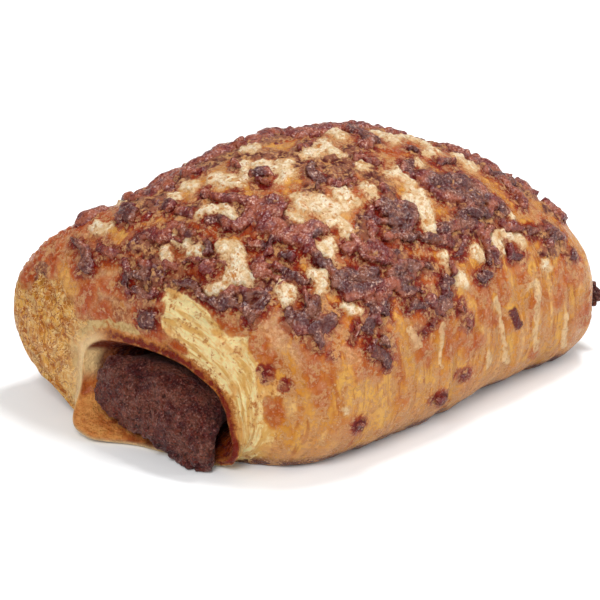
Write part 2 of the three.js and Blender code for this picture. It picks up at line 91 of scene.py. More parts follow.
# Baked-on clumps of dark crumble that the photograph shows. Each is a chain of places, as a
# pixel across and down in the photograph and a radius in its pixels.
DARK_SEEN = [
    [(76, 244, 4), (82, 250, 6), (87, 261, 7), (87, 270, 6)],
    [(98, 247, 5), (106, 250, 7), (114, 253, 6), (122, 253, 3)],
    [(130, 245, 4), (138, 240, 5), (150, 238, 5), (163, 236, 6), (171, 233, 4)],
    [(122, 221, 5), (126, 213, 7), (135, 213, 7), (133, 221, 5)],
    [(148, 213, 4)],
    [(126, 200, 4), (134, 200, 4)],
    [(157, 190, 4), (165, 188, 6), (172, 188, 4)],
    [(160, 204, 6), (169, 204, 7), (167, 210, 3)],
    [(182, 211, 4), (191, 211, 5), (196, 209, 2)],
    [(172, 228, 5), (180, 225, 6), (184, 231, 3)],
    [(204, 197, 3), (209, 194, 4), (216, 199, 4), (226, 200, 5), (238, 201, 5)],
    [(238, 201, 5), (250, 203, 5), (264, 203, 6), (276, 203, 6), (284, 206, 3)],
    [(209, 223, 5), (218, 221, 6), (225, 227, 5), (236, 229, 5), (243, 224, 6)],
    [(243, 224, 6), (251, 215, 8), (263, 214, 8), (276, 213, 7)],
    [(262, 226, 7), (276, 228, 8), (287, 237, 8), (298, 232, 8), (311, 230, 8), (325, 232, 5)],
    [(288, 243, 5), (300, 243, 8), (310, 246, 5)],
    [(251, 176, 4), (260, 174, 5), (269, 173, 4)],
    [(258, 181, 3), (266, 183, 2)],
    [(210, 246, 4), (213, 252, 4), (208, 257, 3)],
    [(186, 264, 2), (200, 264, 3), (213, 262, 2), (224, 265, 2)],
    [(213, 267, 5), (208, 274, 4)],
    [(178, 279, 4), (187, 282, 5), (195, 287, 5), (203, 292, 6), (210, 300, 5), (222, 303, 6)],
    [(222, 295, 4), (232, 291, 5), (242, 290, 5), (251, 295, 5), (262, 295, 6), (270, 291, 3)],
    [(222, 303, 6), (229, 300, 5), (243, 305, 6), (251, 312, 7), (258, 308, 7), (266, 301, 6)],
    [(250, 313, 7), (249, 321, 4)],
    [(138, 276, 4), (145, 273, 7), (151, 279, 5), (157, 273, 6), (164, 279, 4)],
    [(155, 265, 4), (143, 264, 3)],
    [(167, 268, 3), (170, 275, 3)],
    [(147, 316, 9), (148, 322, 9)],
    [(255, 268, 4), (262, 262, 6), (268, 270, 5)],
    [(270, 280, 5), (262, 274, 3)],
    [(250, 243, 3), (263, 244, 3)],
    [(280, 254, 3), (287, 258, 4), (293, 262, 3)],
    [(276, 269, 5), (284, 273, 5), (292, 276, 5), (300, 280, 5), (307, 281, 3)],
    [(312, 251, 5), (316, 257, 6), (321, 263, 6), (325, 269, 4)],
    [(290, 313, 7), (301, 318, 9), (312, 312, 9), (316, 301, 5)],
    [(290, 323, 5), (305, 328, 7), (317, 330, 7), (327, 321, 8), (333, 314, 5)],
    [(317, 330, 7), (320, 340, 5), (319, 347, 3)],
    [(334, 272, 4), (341, 280, 7), (351, 274, 8), (361, 274, 7), (372, 276, 6)],
    [(336, 287, 4), (346, 290, 8), (356, 291, 8), (367, 288, 8), (380, 286, 7), (391, 284, 7)],
    [(347, 298, 4), (368, 293, 5)],
    [(391, 284, 7), (401, 282, 6), (411, 276, 4)],
    [(388, 272, 5), (400, 270, 6), (410, 266, 6), (418, 264, 3)],
    [(339, 246, 3), (349, 249, 5), (360, 247, 6), (372, 251, 6), (385, 254, 6), (396, 252, 4)],
    [(351, 240, 3), (359, 240, 3)],
    [(372, 240, 4), (378, 246, 4)],
    [(362, 257, 3), (372, 261, 3), (384, 262, 4), (393, 262, 3)],
    [(368, 304, 5), (372, 312, 6), (380, 309, 5), (385, 316, 4)],
    [(366, 320, 5), (367, 331, 6)],
    [(374, 338, 3), (373, 347, 6), (379, 352, 6), (386, 359, 5), (386, 365, 3)],
    [(415, 304, 6), (422, 306, 5), (413, 309, 4)],
    [(438, 307, 3), (442, 303, 6), (448, 301, 5)],
    [(444, 276, 5), (450, 281, 4), (445, 287, 5), (447, 294, 4)],
    [(452, 273, 3), (449, 264, 2)],
    [(480, 277, 6), (486, 273, 3)],
    [(486, 262, 3), (487, 252, 3), (485, 241, 4)],
    [(464, 239, 4), (463, 248, 4), (459, 256, 3)],
    [(432, 321, 3), (432, 327, 3)],
    [(459, 305, 3), (460, 309, 2)],
    [(507, 246, 3), (513, 252, 6), (520, 253, 4)],
    [(529, 231, 5), (534, 232, 3)],
    [(404, 165, 5), (411, 166, 6), (414, 173, 4)],
    [(378, 206, 5), (387, 203, 4), (396, 206, 5), (406, 206, 5), (411, 213, 6)],
    [(411, 213, 6), (403, 216, 7), (392, 217, 6), (383, 213, 4)],
    [(411, 213, 6), (411, 223, 5), (406, 232, 4)],
    [(376, 222, 4), (386, 225, 4), (399, 226, 5)],
    [(427, 176, 6), (437, 182, 7), (448, 180, 7), (459, 184, 7), (470, 190, 6), (482, 194, 6)],
    [(419, 177, 3), (430, 188, 4), (440, 195, 6), (452, 197, 7), (464, 200, 7), (476, 203, 7)],
    [(482, 194, 6), (490, 206, 7), (498, 204, 5), (503, 213, 6)],
    [(462, 211, 4), (470, 212, 6), (478, 216, 6), (488, 214, 5)],
    [(440, 224, 6), (448, 229, 7), (458, 224, 6), (468, 228, 6), (480, 228, 4)],
    [(310, 169, 5), (307, 176, 4), (316, 178, 6), (324, 180, 4), (331, 184, 5), (339, 188, 4)],
    [(345, 186, 3), (350, 180, 2)],
    [(350, 132, 5), (359, 133, 6), (366, 139, 5), (374, 144, 5), (381, 144, 3)],
    [(357, 126, 3), (366, 125, 4), (375, 127, 4), (383, 129, 3)],
    [(304, 127, 3), (316, 129, 3), (328, 127, 3)],
    [(312, 135, 4), (321, 137, 3)],
    [(309, 146, 3), (302, 149, 3)],
    [(290, 133, 3), (283, 137, 3)],
    [(270, 129, 3), (262, 133, 2)],
    [(236, 139, 3), (243, 139, 3)],
    [(233, 150, 3), (246, 148, 3)],
    [(190, 165, 4), (203, 161, 3), (213, 160, 3)],
    [(184, 178, 4), (196, 175, 4), (208, 171, 3)],
    [(236, 166, 4), (241, 172, 3)],
    [(545, 232, 5), (553, 231, 5), (559, 239, 4), (546, 242, 4)],
    [(570, 252, 4), (572, 259, 3)],
    [(440, 139, 4), (447, 144, 3), (459, 146, 4), (470, 152, 3)],
    [(476, 154, 4), (487, 162, 5), (497, 168, 5), (508, 178, 4)],
    [(486, 173, 4), (497, 177, 5), (506, 186, 4), (516, 194, 4), (522, 203, 4)],
    [(517, 183, 4), (527, 188, 4), (534, 194, 3)],
    [(545, 203, 3), (553, 208, 3), (562, 217, 3)],
    [(446, 150, 3), (462, 156, 3), (476, 164, 3)],
    [(263, 371, 2), (265, 376, 2.6)],
    [(287, 384, 1.6)],
    [(356, 428, 3), (361, 424, 2)],
    [(436, 400, 3), (442, 398, 3)],
    [(464, 372, 2), (462, 376, 2)],
    [(333, 357, 2)],
    [(353, 158, 3), (366, 162, 3), (377, 164, 3)],
    [(362, 156, 4)],
    [(384, 190, 5), (390, 196, 5), (396, 201, 4)],
    [(126, 262, 4), (130, 272, 5), (127, 284, 5), (134, 294, 4)],
    [(140, 292, 4), (150, 294, 4), (158, 292, 4)],
    [(160, 268, 4), (170, 262, 4), (178, 266, 4)],
    [(184, 228, 4), (188, 236, 5), (196, 240, 3)],
    [(162, 243, 4), (172, 241, 4), (182, 243, 3)],
    [(268, 252, 5), (272, 244, 4), (278, 236, 4)],
    [(262, 272, 4), (256, 276, 3), (260, 284, 3)],
    [(330, 262, 4), (334, 272, 5), (336, 284, 4)],
    [(385, 236, 4), (396, 236, 5), (408, 240, 5), (418, 236, 4)],
    [(372, 212, 4), (368, 222, 5), (374, 232, 5)],
    [(386, 212, 5), (394, 212, 4)],
    [(424, 238, 4), (434, 236, 5), (446, 238, 4), (452, 246, 3)],
    [(398, 262, 4), (412, 260, 4), (426, 264, 5), (430, 270, 3)],
    [(396, 288, 4), (408, 290, 5), (420, 292, 3)],
    [(428, 298, 5), (434, 306, 5), (440, 312, 3)],
    [(440, 190, 4), (456, 190, 5), (470, 196, 5)],
    [(446, 176, 3), (462, 180, 5), (474, 184, 5), (480, 188, 3)],
    [(458, 216, 5), (464, 226, 5), (460, 232, 3)],
    [(502, 222, 4), (510, 227, 4), (520, 231, 3)],
    [(492, 228, 4), (482, 238, 4), (476, 230, 4)],
    [(492, 250, 3), (493, 260, 3)],
    [(376, 300, 4), (388, 296, 5), (382, 304, 5), (390, 308, 4)],
    [(372, 318, 4), (378, 326, 3)],
    [(358, 328, 3), (356, 338, 2)],
    [(384, 340, 4), (388, 346, 3)],
    [(318, 236, 4), (306, 238, 4), (296, 238, 4)],
    [(302, 288, 4), (304, 296, 4), (306, 304, 3)],
    [(276, 284, 4), (288, 280, 3)],
    [(466, 318, 4), (466, 326, 3)],
    [(420, 334, 3)],
    [(362, 160, 4), (374, 160, 3), (352, 162, 3)],
    [(312, 164, 3), (318, 192, 3)],
    [(362, 146, 4), (372, 148, 3)],
    [(408, 150, 3), (418, 155, 3)],
    [(438, 162, 3), (452, 165, 3)],
    [(508, 182, 3), (518, 187, 2)],
]

# Smooth dark drops on the wall, in the same form
DROPS_SEEN = [
    [(516, 313, 2.4), (517, 321, 3.4)],
    [(386, 358, 4), (387, 365, 3)],
    [(460, 307, 3)],
    [(356, 427, 3), (361, 425, 3)],
    [(438, 400, 4), (443, 397, 3)],
    [(571, 254, 5)],
]

# Where the crumble is almost black
CHARRED_SEEN = [
    [(76, 244, 5), (88, 262, 8), (87, 272, 6)],
    [(128, 216, 10)],
    [(166, 204, 7)],
    [(140, 276, 8), (156, 276, 8)],
    [(147, 319, 12)],
    [(180, 280, 6), (192, 288, 7), (206, 296, 8), (222, 304, 8), (246, 302, 8), (262, 300, 10)],
    [(250, 316, 8)],
    [(292, 316, 12), (316, 314, 14), (320, 338, 8)],
    [(340, 284, 10), (360, 282, 12), (372, 278, 8)],
    [(396, 274, 8), (412, 268, 6)],
    [(318, 262, 9)],
    [(286, 272, 6), (304, 280, 6)],
    [(217, 223, 7)],
    [(258, 176, 7)],
    [(370, 308, 7)],
    [(366, 326, 8)],
    [(376, 348, 9), (386, 360, 7)],
    [(418, 305, 9)],
    [(443, 303, 8)],
    [(447, 282, 9)],
    [(480, 277, 8)],
    [(515, 252, 7)],
    [(409, 166, 6)],
    [(408, 214, 10)],
    [(529, 231, 6)],
    [(500, 212, 6)],
    [(444, 228, 7)],
    [(353, 132, 6)],
    [(375, 144, 5)],
    [(322, 179, 6)],
    [(212, 250, 7)],
    [(286, 258, 6)],
    [(396, 224, 12), (386, 206, 8)],
    [(396, 250, 8), (414, 240, 8), (434, 238, 7)],
    [(436, 184, 10), (462, 190, 12), (478, 204, 10)],
    [(462, 222, 9), (480, 216, 8)],
    [(404, 286, 8)],
    [(322, 296, 6), (330, 316, 9)],
    [(310, 170, 7), (316, 188, 5)],
    [(364, 140, 6)],
    [(430, 262, 7)],
    [(318, 238, 6)],
    [(552, 238, 8)],
    [(571, 256, 5)],
    [(487, 258, 6)],
    [(334, 268, 6)],
    [(268, 244, 6)],
    [(150, 290, 8), (128, 280, 8)],
    [(190, 234, 6)],
    [(390, 190, 6)],
    [(386, 308, 6), (384, 344, 6)],
    [(492, 174, 6), (512, 184, 4)],
    [(412, 152, 5)],
    [(446, 163, 4)],
]

# Brown crumble that has baked down to a thin, bumpy film
FILM_SEEN = [
    [(430, 178, 10), (450, 190, 16), (470, 204, 16), (488, 212, 12), (500, 208, 8)],
    [(452, 228, 6), (465, 226, 12), (482, 228, 8)],
    [(350, 152, 5), (362, 166, 6), (372, 176, 6), (386, 186, 7), (392, 198, 8), (398, 214, 10)],
    [(325, 166, 9), (335, 160, 8), (345, 172, 9), (335, 180, 6)],
    [(306, 148, 6), (296, 160, 5), (300, 192, 7), (315, 196, 7)],
    [(228, 204, 7), (250, 210, 9), (280, 214, 10), (305, 232, 11), (322, 232, 8)],
    [(140, 246, 7), (160, 242, 8), (180, 236, 9), (190, 244, 6)],
    [(186, 206, 6), (200, 203, 4)],
    [(175, 180, 8), (195, 172, 8), (212, 164, 6), (226, 158, 5)],
    [(236, 160, 5), (244, 152, 5), (262, 156, 6), (280, 154, 5), (300, 158, 6)],
    [(352, 244, 6), (372, 250, 9), (392, 254, 8)],
    [(345, 130, 5), (360, 128, 6), (378, 130, 4)],
    [(325, 128, 3), (310, 130, 4)],
    [(440, 142, 5), (460, 150, 5), (480, 160, 6), (500, 173, 7), (515, 186, 7), (530, 194, 5)],
    [(548, 232, 10), (556, 244, 7), (546, 252, 6)],
    [(545, 208, 6), (558, 216, 4)],
    [(262, 268, 8), (270, 282, 6), (262, 288, 5)],
    [(196, 262, 4), (210, 262, 5), (222, 262, 4)],
    [(150, 262, 6), (165, 264, 6), (150, 284, 6), (175, 283, 5)],
    [(232, 296, 8), (250, 300, 8)],
    [(132, 204, 7), (146, 208, 6), (160, 198, 6)],
    [(350, 232, 6), (362, 226, 6), (372, 234, 7)],
    [(45, 267, 5), (41, 276, 5)],
    [(456, 238, 6), (446, 240, 4)],
]

# Red-brown glaze and caramel
GLAZE_SEEN = [
    [(57, 240, 5), (44, 252, 8), (34, 264, 8), (26, 282, 5)],
    [(56, 256, 5), (50, 270, 5)],
    [(74, 258, 4), (76, 268, 5), (92, 278, 4)],
    [(88, 290, 7), (86, 302, 6), (84, 310, 4)],
    [(104, 258, 4), (112, 262, 5), (124, 262, 4)],
    [(102, 314, 6), (108, 317, 4)],
    [(108, 286, 7), (124, 290, 7), (142, 292, 7), (156, 292, 6)],
    [(150, 332, 9), (146, 344, 7), (156, 350, 8), (166, 357, 6), (176, 360, 4)],
    [(152, 306, 5), (158, 308, 4), (137, 312, 3)],
    [(212, 306, 4), (222, 316, 5), (231, 323, 6), (240, 329, 6)],
    [(232, 307, 5), (240, 316, 5)],
    [(256, 344, 4), (263, 351, 6), (270, 362, 5)],
    [(313, 352, 4), (313, 368, 4), (317, 384, 4), (321, 394, 4), (322, 402, 3)],
    [(274, 404, 4), (275, 413, 4), (272, 424, 3)],
    [(410, 230, 6), (418, 238, 7), (430, 242, 8), (446, 240, 7), (458, 246, 6)],
    [(414, 286, 6), (426, 284, 7), (434, 292, 6), (420, 293, 5)],
    [(476, 290, 6), (485, 296, 5)],
    [(466, 320, 6), (467, 326, 4)],
    [(533, 354, 4)],
    [(388, 150, 3), (400, 153, 4), (412, 148, 4), (424, 154, 4), (436, 161, 4), (450, 165, 4)],
    [(250, 145, 3), (240, 148, 3), (228, 150, 3)],
    [(283, 135, 3), (290, 139, 3)],
    [(264, 156, 4), (270, 159, 3)],
    [(340, 176, 5), (352, 182, 5), (356, 192, 4)],
    [(312, 184, 5), (322, 188, 5), (330, 191, 3)],
    [(306, 194, 4), (298, 190, 4)],
    [(266, 184, 4), (276, 186, 4)],
    [(204, 224, 4), (208, 231, 4), (214, 234, 3)],
    [(196, 220, 4), (200, 226, 4)],
    [(236, 302, 4), (246, 300, 4)],
    [(344, 256, 6), (352, 262, 6), (366, 264, 6), (378, 270, 5)],
    [(360, 222, 5), (354, 228, 5)],
    [(412, 262, 6), (420, 270, 5), (430, 268, 4)],
    [(404, 300, 5), (408, 312, 5), (422, 316, 4), (430, 310, 4)],
    [(446, 314, 4), (454, 312, 4), (440, 316, 4)],
    [(360, 318, 4), (360, 334, 4), (364, 350, 5), (370, 362, 5), (380, 368, 5)],
    [(392, 338, 4), (390, 350, 4)],
    [(338, 318, 5), (338, 328, 4), (326, 340, 3)],
    [(284, 322, 4), (284, 310, 4)],
    [(504, 242, 6), (512, 240, 4)],
    [(514, 224, 3), (519, 229, 3)],
    [(536, 300, 4), (534, 308, 4)],
    [(500, 272, 4), (503, 290, 4), (503, 300, 3)],
    [(520, 268, 4), (523, 276, 4)],
    [(560, 272, 4), (566, 278, 4), (576, 280, 4)],
    [(560, 292, 4), (558, 300, 4)],
    [(492, 318, 3), (484, 312, 3)],
    [(586, 315, 4), (583, 322, 3)],
    [(524, 232, 4), (536, 228, 4), (542, 220, 4)],
    [(564, 262, 4), (578, 266, 4)],
    [(448, 330, 5), (458, 340, 6), (452, 352, 5)],
    [(424, 328, 5), (420, 336, 4), (426, 354, 4)],
    [(478, 336, 5), (470, 348, 4)],
    [(362, 371, 3), (378, 374, 4)],
    [(490, 262, 5), (494, 284, 5)],
    [(132, 196, 4), (144, 204, 4)],
    [(64, 230, 4), (78, 226, 4), (92, 224, 3)],
    [(98, 219, 3), (106, 217, 3)],
]

# Patches of pale paste
PALE_SEEN = [
    [(97, 227, 4), (104, 229, 6), (108, 226, 3)],
    [(167, 251, 3), (168, 257, 4)],
    [(192, 253, 3), (198, 253, 4)],
    [(204, 213, 4), (213, 210, 4), (222, 211, 5), (229, 214, 4), (232, 219, 3)],
    [(213, 181, 4), (222, 180, 5), (232, 182, 6), (240, 186, 4)],
    [(244, 178, 3), (245, 170, 4), (247, 165, 2)],
    [(184, 187, 3), (194, 186, 4)],
    [(170, 197, 3), (176, 197, 3)],
    [(254, 138, 4), (262, 136, 5), (270, 134, 4)],
    [(246, 152, 2), (256, 149, 3)],
    [(258, 168, 3), (266, 166, 4), (272, 167, 4)],
    [(278, 169, 5), (285, 166, 6), (285, 174, 6), (280, 178, 4)],
    [(289, 162, 4), (283, 160, 3)],
    [(306, 157, 4), (314, 155, 6), (319, 150, 3)],
    [(318, 147, 3), (325, 145, 4), (330, 151, 4), (339, 154, 3)],
    [(328, 131, 3), (335, 133, 4), (342, 136, 4), (338, 139, 3)],
    [(337, 194, 5), (342, 197, 7)],
    [(296, 198, 3), (303, 204, 5), (311, 207, 6), (320, 208, 6), (330, 210, 7), (341, 209, 7)],
    [(341, 209, 7), (350, 207, 5), (354, 204, 3)],
    [(329, 222, 4), (338, 227, 6), (345, 234, 5)],
    [(330, 243, 5), (325, 250, 5), (331, 256, 3)],
    [(359, 186, 3), (366, 190, 4), (373, 195, 4)],
    [(358, 166, 2), (366, 168, 3)],
    [(390, 171, 2), (397, 171, 4), (401, 177, 4), (407, 183, 4), (414, 187, 3), (420, 192, 2)],
    [(411, 196, 4), (419, 201, 7), (425, 209, 7), (429, 217, 7), (430, 225, 5)],
    [(412, 206, 3), (420, 212, 5)],
    [(374, 134, 3), (385, 137, 4), (393, 140, 5), (402, 137, 3)],
    [(404, 135, 3), (414, 139, 3), (424, 143, 3), (432, 151, 4), (428, 154, 3)],
    [(418, 164, 3), (421, 166, 3)],
    [(455, 155, 3), (466, 164, 4), (476, 170, 3)],
    [(233, 271, 5), (240, 266, 6), (245, 273, 6), (237, 280, 6), (228, 280, 4)],
    [(226, 286, 4), (215, 287, 4)],
    [(250, 278, 4), (256, 277, 3)],
    [(221, 243, 3), (226, 249, 5), (233, 251, 5), (240, 255, 4)],
    [(228, 257, 3), (236, 260, 3)],
    [(250, 283, 4), (248, 281, 3)],
    [(281, 289, 3), (288, 292, 4), (286, 300, 4)],
    [(317, 280, 4), (321, 285, 5), (318, 292, 3)],
    [(323, 276, 3), (311, 275, 2)],
    [(345, 305, 2), (351, 306, 4), (355, 313, 3)],
    [(498, 235, 3), (495, 242, 4), (499, 250, 3)],
    [(505, 231, 2), (512, 233, 2)],
    [(516, 237, 3), (521, 241, 3)],
    [(459, 277, 3), (462, 285, 4)],
    [(508, 212, 2), (512, 219, 2)],
    [(298, 217, 4), (290, 212, 3)],
    [(186, 245, 2), (176, 241, 3)],
    [(475, 250, 3), (478, 258, 4)],
    [(443, 254, 3), (445, 262, 4)],
    [(546, 264, 3), (548, 268, 2)],
    [(345, 410, 2)],
]

# Pale bared layers over the near mouth
LAYERS_SEEN = [
    [(88, 338, 4), (98, 336, 5), (110, 335, 5), (122, 336, 4), (132, 340, 3)],
    [(94, 326, 3), (106, 327, 4), (118, 327, 4), (130, 330, 3), (138, 336, 2)],
    [(84, 350, 3), (82, 362, 3)],
]

# Pale pink patches on the glaze, partly its pinkish tint and partly painted sheen, the bright studio reflected in the
# glossy glaze
PINK_SHEEN_SEEN = [
    [(258, 322, 7), (270, 330, 9), (280, 342, 7), (284, 330, 6)],
    [(70, 232, 6), (88, 226, 7), (106, 219, 5)],
    [(40, 262, 5), (52, 250, 5), (62, 240, 5)],
    [(196, 196, 4), (210, 190, 4)],
    [(105, 270, 5), (112, 282, 6), (104, 292, 5)],
    [(128, 300, 5), (144, 303, 6)],
    [(300, 352, 5), (310, 362, 6)],
    [(352, 348, 5), (356, 360, 5)],
]

# Smooth golden dough between the clumps
GOLD_SEEN = [
    [(112, 238, 6), (128, 234, 6), (150, 229, 6), (166, 223, 6), (182, 218, 5)],
    [(196, 216, 5), (202, 234, 4), (214, 238, 4), (232, 240, 4)],
    [(62, 264, 8), (62, 280, 8), (72, 286, 6)],
    [(182, 190, 4), (200, 188, 6), (216, 188, 6), (232, 190, 5), (262, 193, 5), (274, 194, 4)],
    [(196, 198, 4), (184, 200, 4)],
    [(216, 175, 4), (230, 171, 4)],
    [(280, 143, 4), (290, 146, 5), (268, 147, 3)],
    [(290, 180, 7), (296, 188, 5), (286, 190, 5)],
    [(294, 212, 5), (304, 219, 4)],
    [(340, 222, 4), (348, 226, 3)],
    [(326, 240, 5), (320, 248, 3)],
    [(302, 258, 4), (308, 266, 5), (314, 274, 4)],
    [(296, 284, 4), (306, 290, 4)],
    [(386, 236, 5), (392, 243, 4)],
    [(410, 190, 3), (404, 190, 3)],
    [(390, 156, 3), (404, 159, 4), (420, 161, 3), (436, 165, 3)],
    [(484, 180, 2), (496, 190, 3), (508, 202, 4), (518, 214, 5), (526, 222, 5)],
    [(440, 204, 3), (446, 210, 3)],
    [(396, 300, 5), (398, 316, 6), (396, 332, 6)],
    [(455, 290, 5), (462, 294, 5), (470, 304, 5)],
    [(230, 286, 3), (262, 278, 3)],
    [(124, 284, 3), (92, 246, 3)],
]

# Clumps on the sides that the photograph does not show: a radius, then places along X and round
DARK_HIDDEN = [
    [2.8, (-28, 118), (-22, 122), (-14, 118), (-8, 116)],
    [3.0, (4, 101), (12, 99), (18, 96)],
    [2.8, (-2, 110), (4, 113), (9, 118)],
    [2.6, (14, 108), (20, 112), (24, 106)],
    [2.8, (-22, 134), (-15, 131), (-9, 136)],
    [2.6, (2, 130), (9, 133), (15, 127)],
    [2.4, (24, 124), (28, 117), (32, 110)],
    [2.6, (-36, 128), (-33, 131), (-30, 137)],
    [2.4, (-6, 149), (-2, 152)],
    [2.4, (20, 144), (24, 139)],
    [2.2, (30, 100), (35, 94)],
    [2.2, (-24, 148), (-20, 150)],
    [1.8, (8, 158), (9, 162)],
    [1.6, (-14, 162), (-14, 165)],
    [1.8, (34, 134), (35, 138)],
]
PALE_HIDDEN = [
    [2.4, (-16, 124), (-10, 127)],
    [2.4, (16, 120), (13, 124)],
    [2.2, (-30, 124), (-27, 129)],
    [2.0, (0, 138), (4, 142)],
    [2.0, (24, 132), (28, 128)],
    [2.6, (-4, 122), (2, 124)],
]
FILM_HIDDEN = [
    [5.0, (-26, 126), (-16, 124), (-6, 124)],
    [6.0, (0, 108), (12, 112), (24, 112)],
    [4.5, (2, 134), (14, 130), (26, 120)],
    [3.5, (-32, 136), (-20, 140)],
    [3.5, (30, 104), (38, 96)],
]

# Blistered ridges that run down the front wall, in the photograph's pixels
RIDGES_SEEN = [
    [(497, 300, 2), (500, 320, 3), (505, 338, 3), (507, 362, 3)],
    [(527, 283, 2), (533, 280, 2), (537, 290, 3), (537, 315, 3), (535, 332, 3), (536, 350, 2)],
    [(566, 318, 2), (566, 330, 3), (563, 345, 3)],
    [(409, 330, 2), (413, 338, 2), (419, 346, 2)],
    [(442, 322, 1), (441, 345, 2), (441, 366, 1)],
    [(488, 352, 2), (490, 366, 2)],
]

# Heights of the crust's relief
DARK_HEIGHT = 1.5
PALE_HEIGHT = 0.6

# Mesh fineness
DOUGH_ROWS = 350
DOUGH_COLUMNS = 280
CRUMBLE_STEP = 0.36
FILLING_ROWS = 200
FILLING_COLUMNS = 200


# Small tools

def smooth(low, high, value):
    share = np.clip((value - low) / (high - low), 0.0, 1.0)
    return share * share * (3.0 - 2.0 * share)


def mix(first, second, share):
    return first + (second - first) * share


def hashed(cells, seed):
    """A repeatable number from 0 to 1 for each cell of whole numbers."""
    c = cells.astype(np.uint32)
    number = c[..., 0] * np.uint32(374761393) + c[..., 1] * np.uint32(668265263)
    number += c[..., 2] * np.uint32(2246822519) + np.uint32(seed * 3266489917 % 2**32)
    number = (number ^ (number >> np.uint32(13))) * np.uint32(1274126177)
    number ^= number >> np.uint32(16)
    return number.astype(float) / 2**32


def noise(points, size, seed=0):
    """Smooth noise from -1 to 1, whose features are about that size."""
    place = points / size
    cell = np.floor(place).astype(np.int64)
    part = place - cell
    part = part * part * (3.0 - 2.0 * part)
    total = 0.0
    for corner in itertools.product((0, 1), repeat=3):
        weight = np.prod(np.where(np.array(corner) == 1, part, 1.0 - part), axis=-1)
        total = total + weight * hashed(cell + np.array(corner), seed)
    return 2.0 * total - 1.0


def rough(points, size, layers, seed=0):
    """Noise with finer and finer layers on it."""
    total = 0.0
    for layer in range(layers):
        total = total + noise(points, size / 2**layer, seed + layer) / 2**layer
    return total


def pebbles(points, size, seed=0, least=0.3, most=0.75):
    """Domes from 0 to 1 high, scattered in cells of that size."""
    place = points / size
    cell = np.floor(place).astype(np.int64)
    best = np.zeros(points.shape[:-1])
    for offset in itertools.product((-1, 0, 1), repeat=3):
        near = cell + np.array(offset)
        middle = np.stack([hashed(near, seed + side) for side in range(3)], axis=-1)
        radius = mix(least, most, hashed(near, seed + 3))
        apart = np.sum((near + middle - place) ** 2, axis=-1)
        best = np.maximum(best, radius * (1.0 - apart / radius**2))
    return np.sqrt(np.clip(best / most, 0.0, 1.0))


# The dough's smooth surface

def section(angle, front, back, waist, top, bottom, upper, lower, upper_rear=None, lower_rear=None):
    """Places on a superellipse whose halves can differ in squareness, as across and up."""
    across = np.cos(np.radians(angle))
    up = np.sin(np.radians(angle))
    rear = 1.0 - smooth(-0.35, 0.35, across)
    upper = mix(upper, upper if upper_rear is None else upper_rear, rear)
    lower = mix(lower, lower if lower_rear is None else lower_rear, rear)
    power = 2.0 / np.where(up >= 0, upper, lower)
    middle = (front + back) / 2
    reach = (back - front) / 2
    rise = np.where(up >= 0, top - waist, bottom - waist)
    y = middle - reach * np.sign(across) * np.abs(across) ** power
    z = waist + rise * np.abs(up) ** power
    return np.stack([y, z], axis=-1)


def roll(angle, share, inset=0.0):
    """The dough's outer outline at a share of the half length, from -1 at the near rim to 1."""
    taper = NEAR_TAPER if share < 0 else FAR_TAPER
    ends = abs(share) ** 2.5
    height = 1 - (1 - taper["height"]) * ends
    slump = smooth(0.1, 0.45, -share) * (1 - 0.85 * smooth(0.55, 0.85, -share))
    bulge = SHOULDER_BULGE * smooth(0.6, 0.86, -share)
    return section(
        angle,
        front=FRONT * (1 - (1 - taper["front"]) * ends) + inset,
        back=BACK * (1 - (1 - taper["back"]) * ends) - inset,
        waist=WAIST * mix(1, height, 0.6),
        top=CROWN * height - inset,
        bottom=inset - SUNK,
        upper=ROLL_SQUARENESS,
        upper_rear=ROLL_SQUARENESS - SHOULDER_SLUMP * slump + bulge,
        lower=ROLL_LOWER[0],
        lower_rear=ROLL_LOWER[1],
    )


def mouth(angle, limits, grow=0.0, upper=2.5, lower=2.5, upper_rear=None, lower_rear=None):
    return section(
        angle,
        front=limits["front"] - grow,
        back=limits["back"] + grow,
        waist=(limits["bottom"] + limits["top"]) / 2,
        top=limits["top"] + grow,
        bottom=limits["bottom"] - grow,
        upper=upper,
        lower=lower,
        upper_rear=upper_rear,
        lower_rear=lower_rear,
    )


def near_lip(angle, grow):
    """The near lip, whose front side splays out towards the table."""
    outline = mouth(angle, NEAR_MOUTH, grow, **LIP_SQUARENESS)
    y, z = outline[..., 0], outline[..., 1]
    below = np.maximum((NEAR_MOUTH["bottom"] + NEAR_MOUTH["top"]) / 2 - z, 0.0)
    return np.stack([y - LIP_SPLAY * below * (1 - smooth(-14, -2, y)), z], axis=-1)


def tunnel(angle, share, grow):
    limits = {side: mix(NEAR_MOUTH[side], FAR_MOUTH[side], (share + 1) / 2) for side in NEAR_MOUTH}
    return mouth(angle, limits, grow)


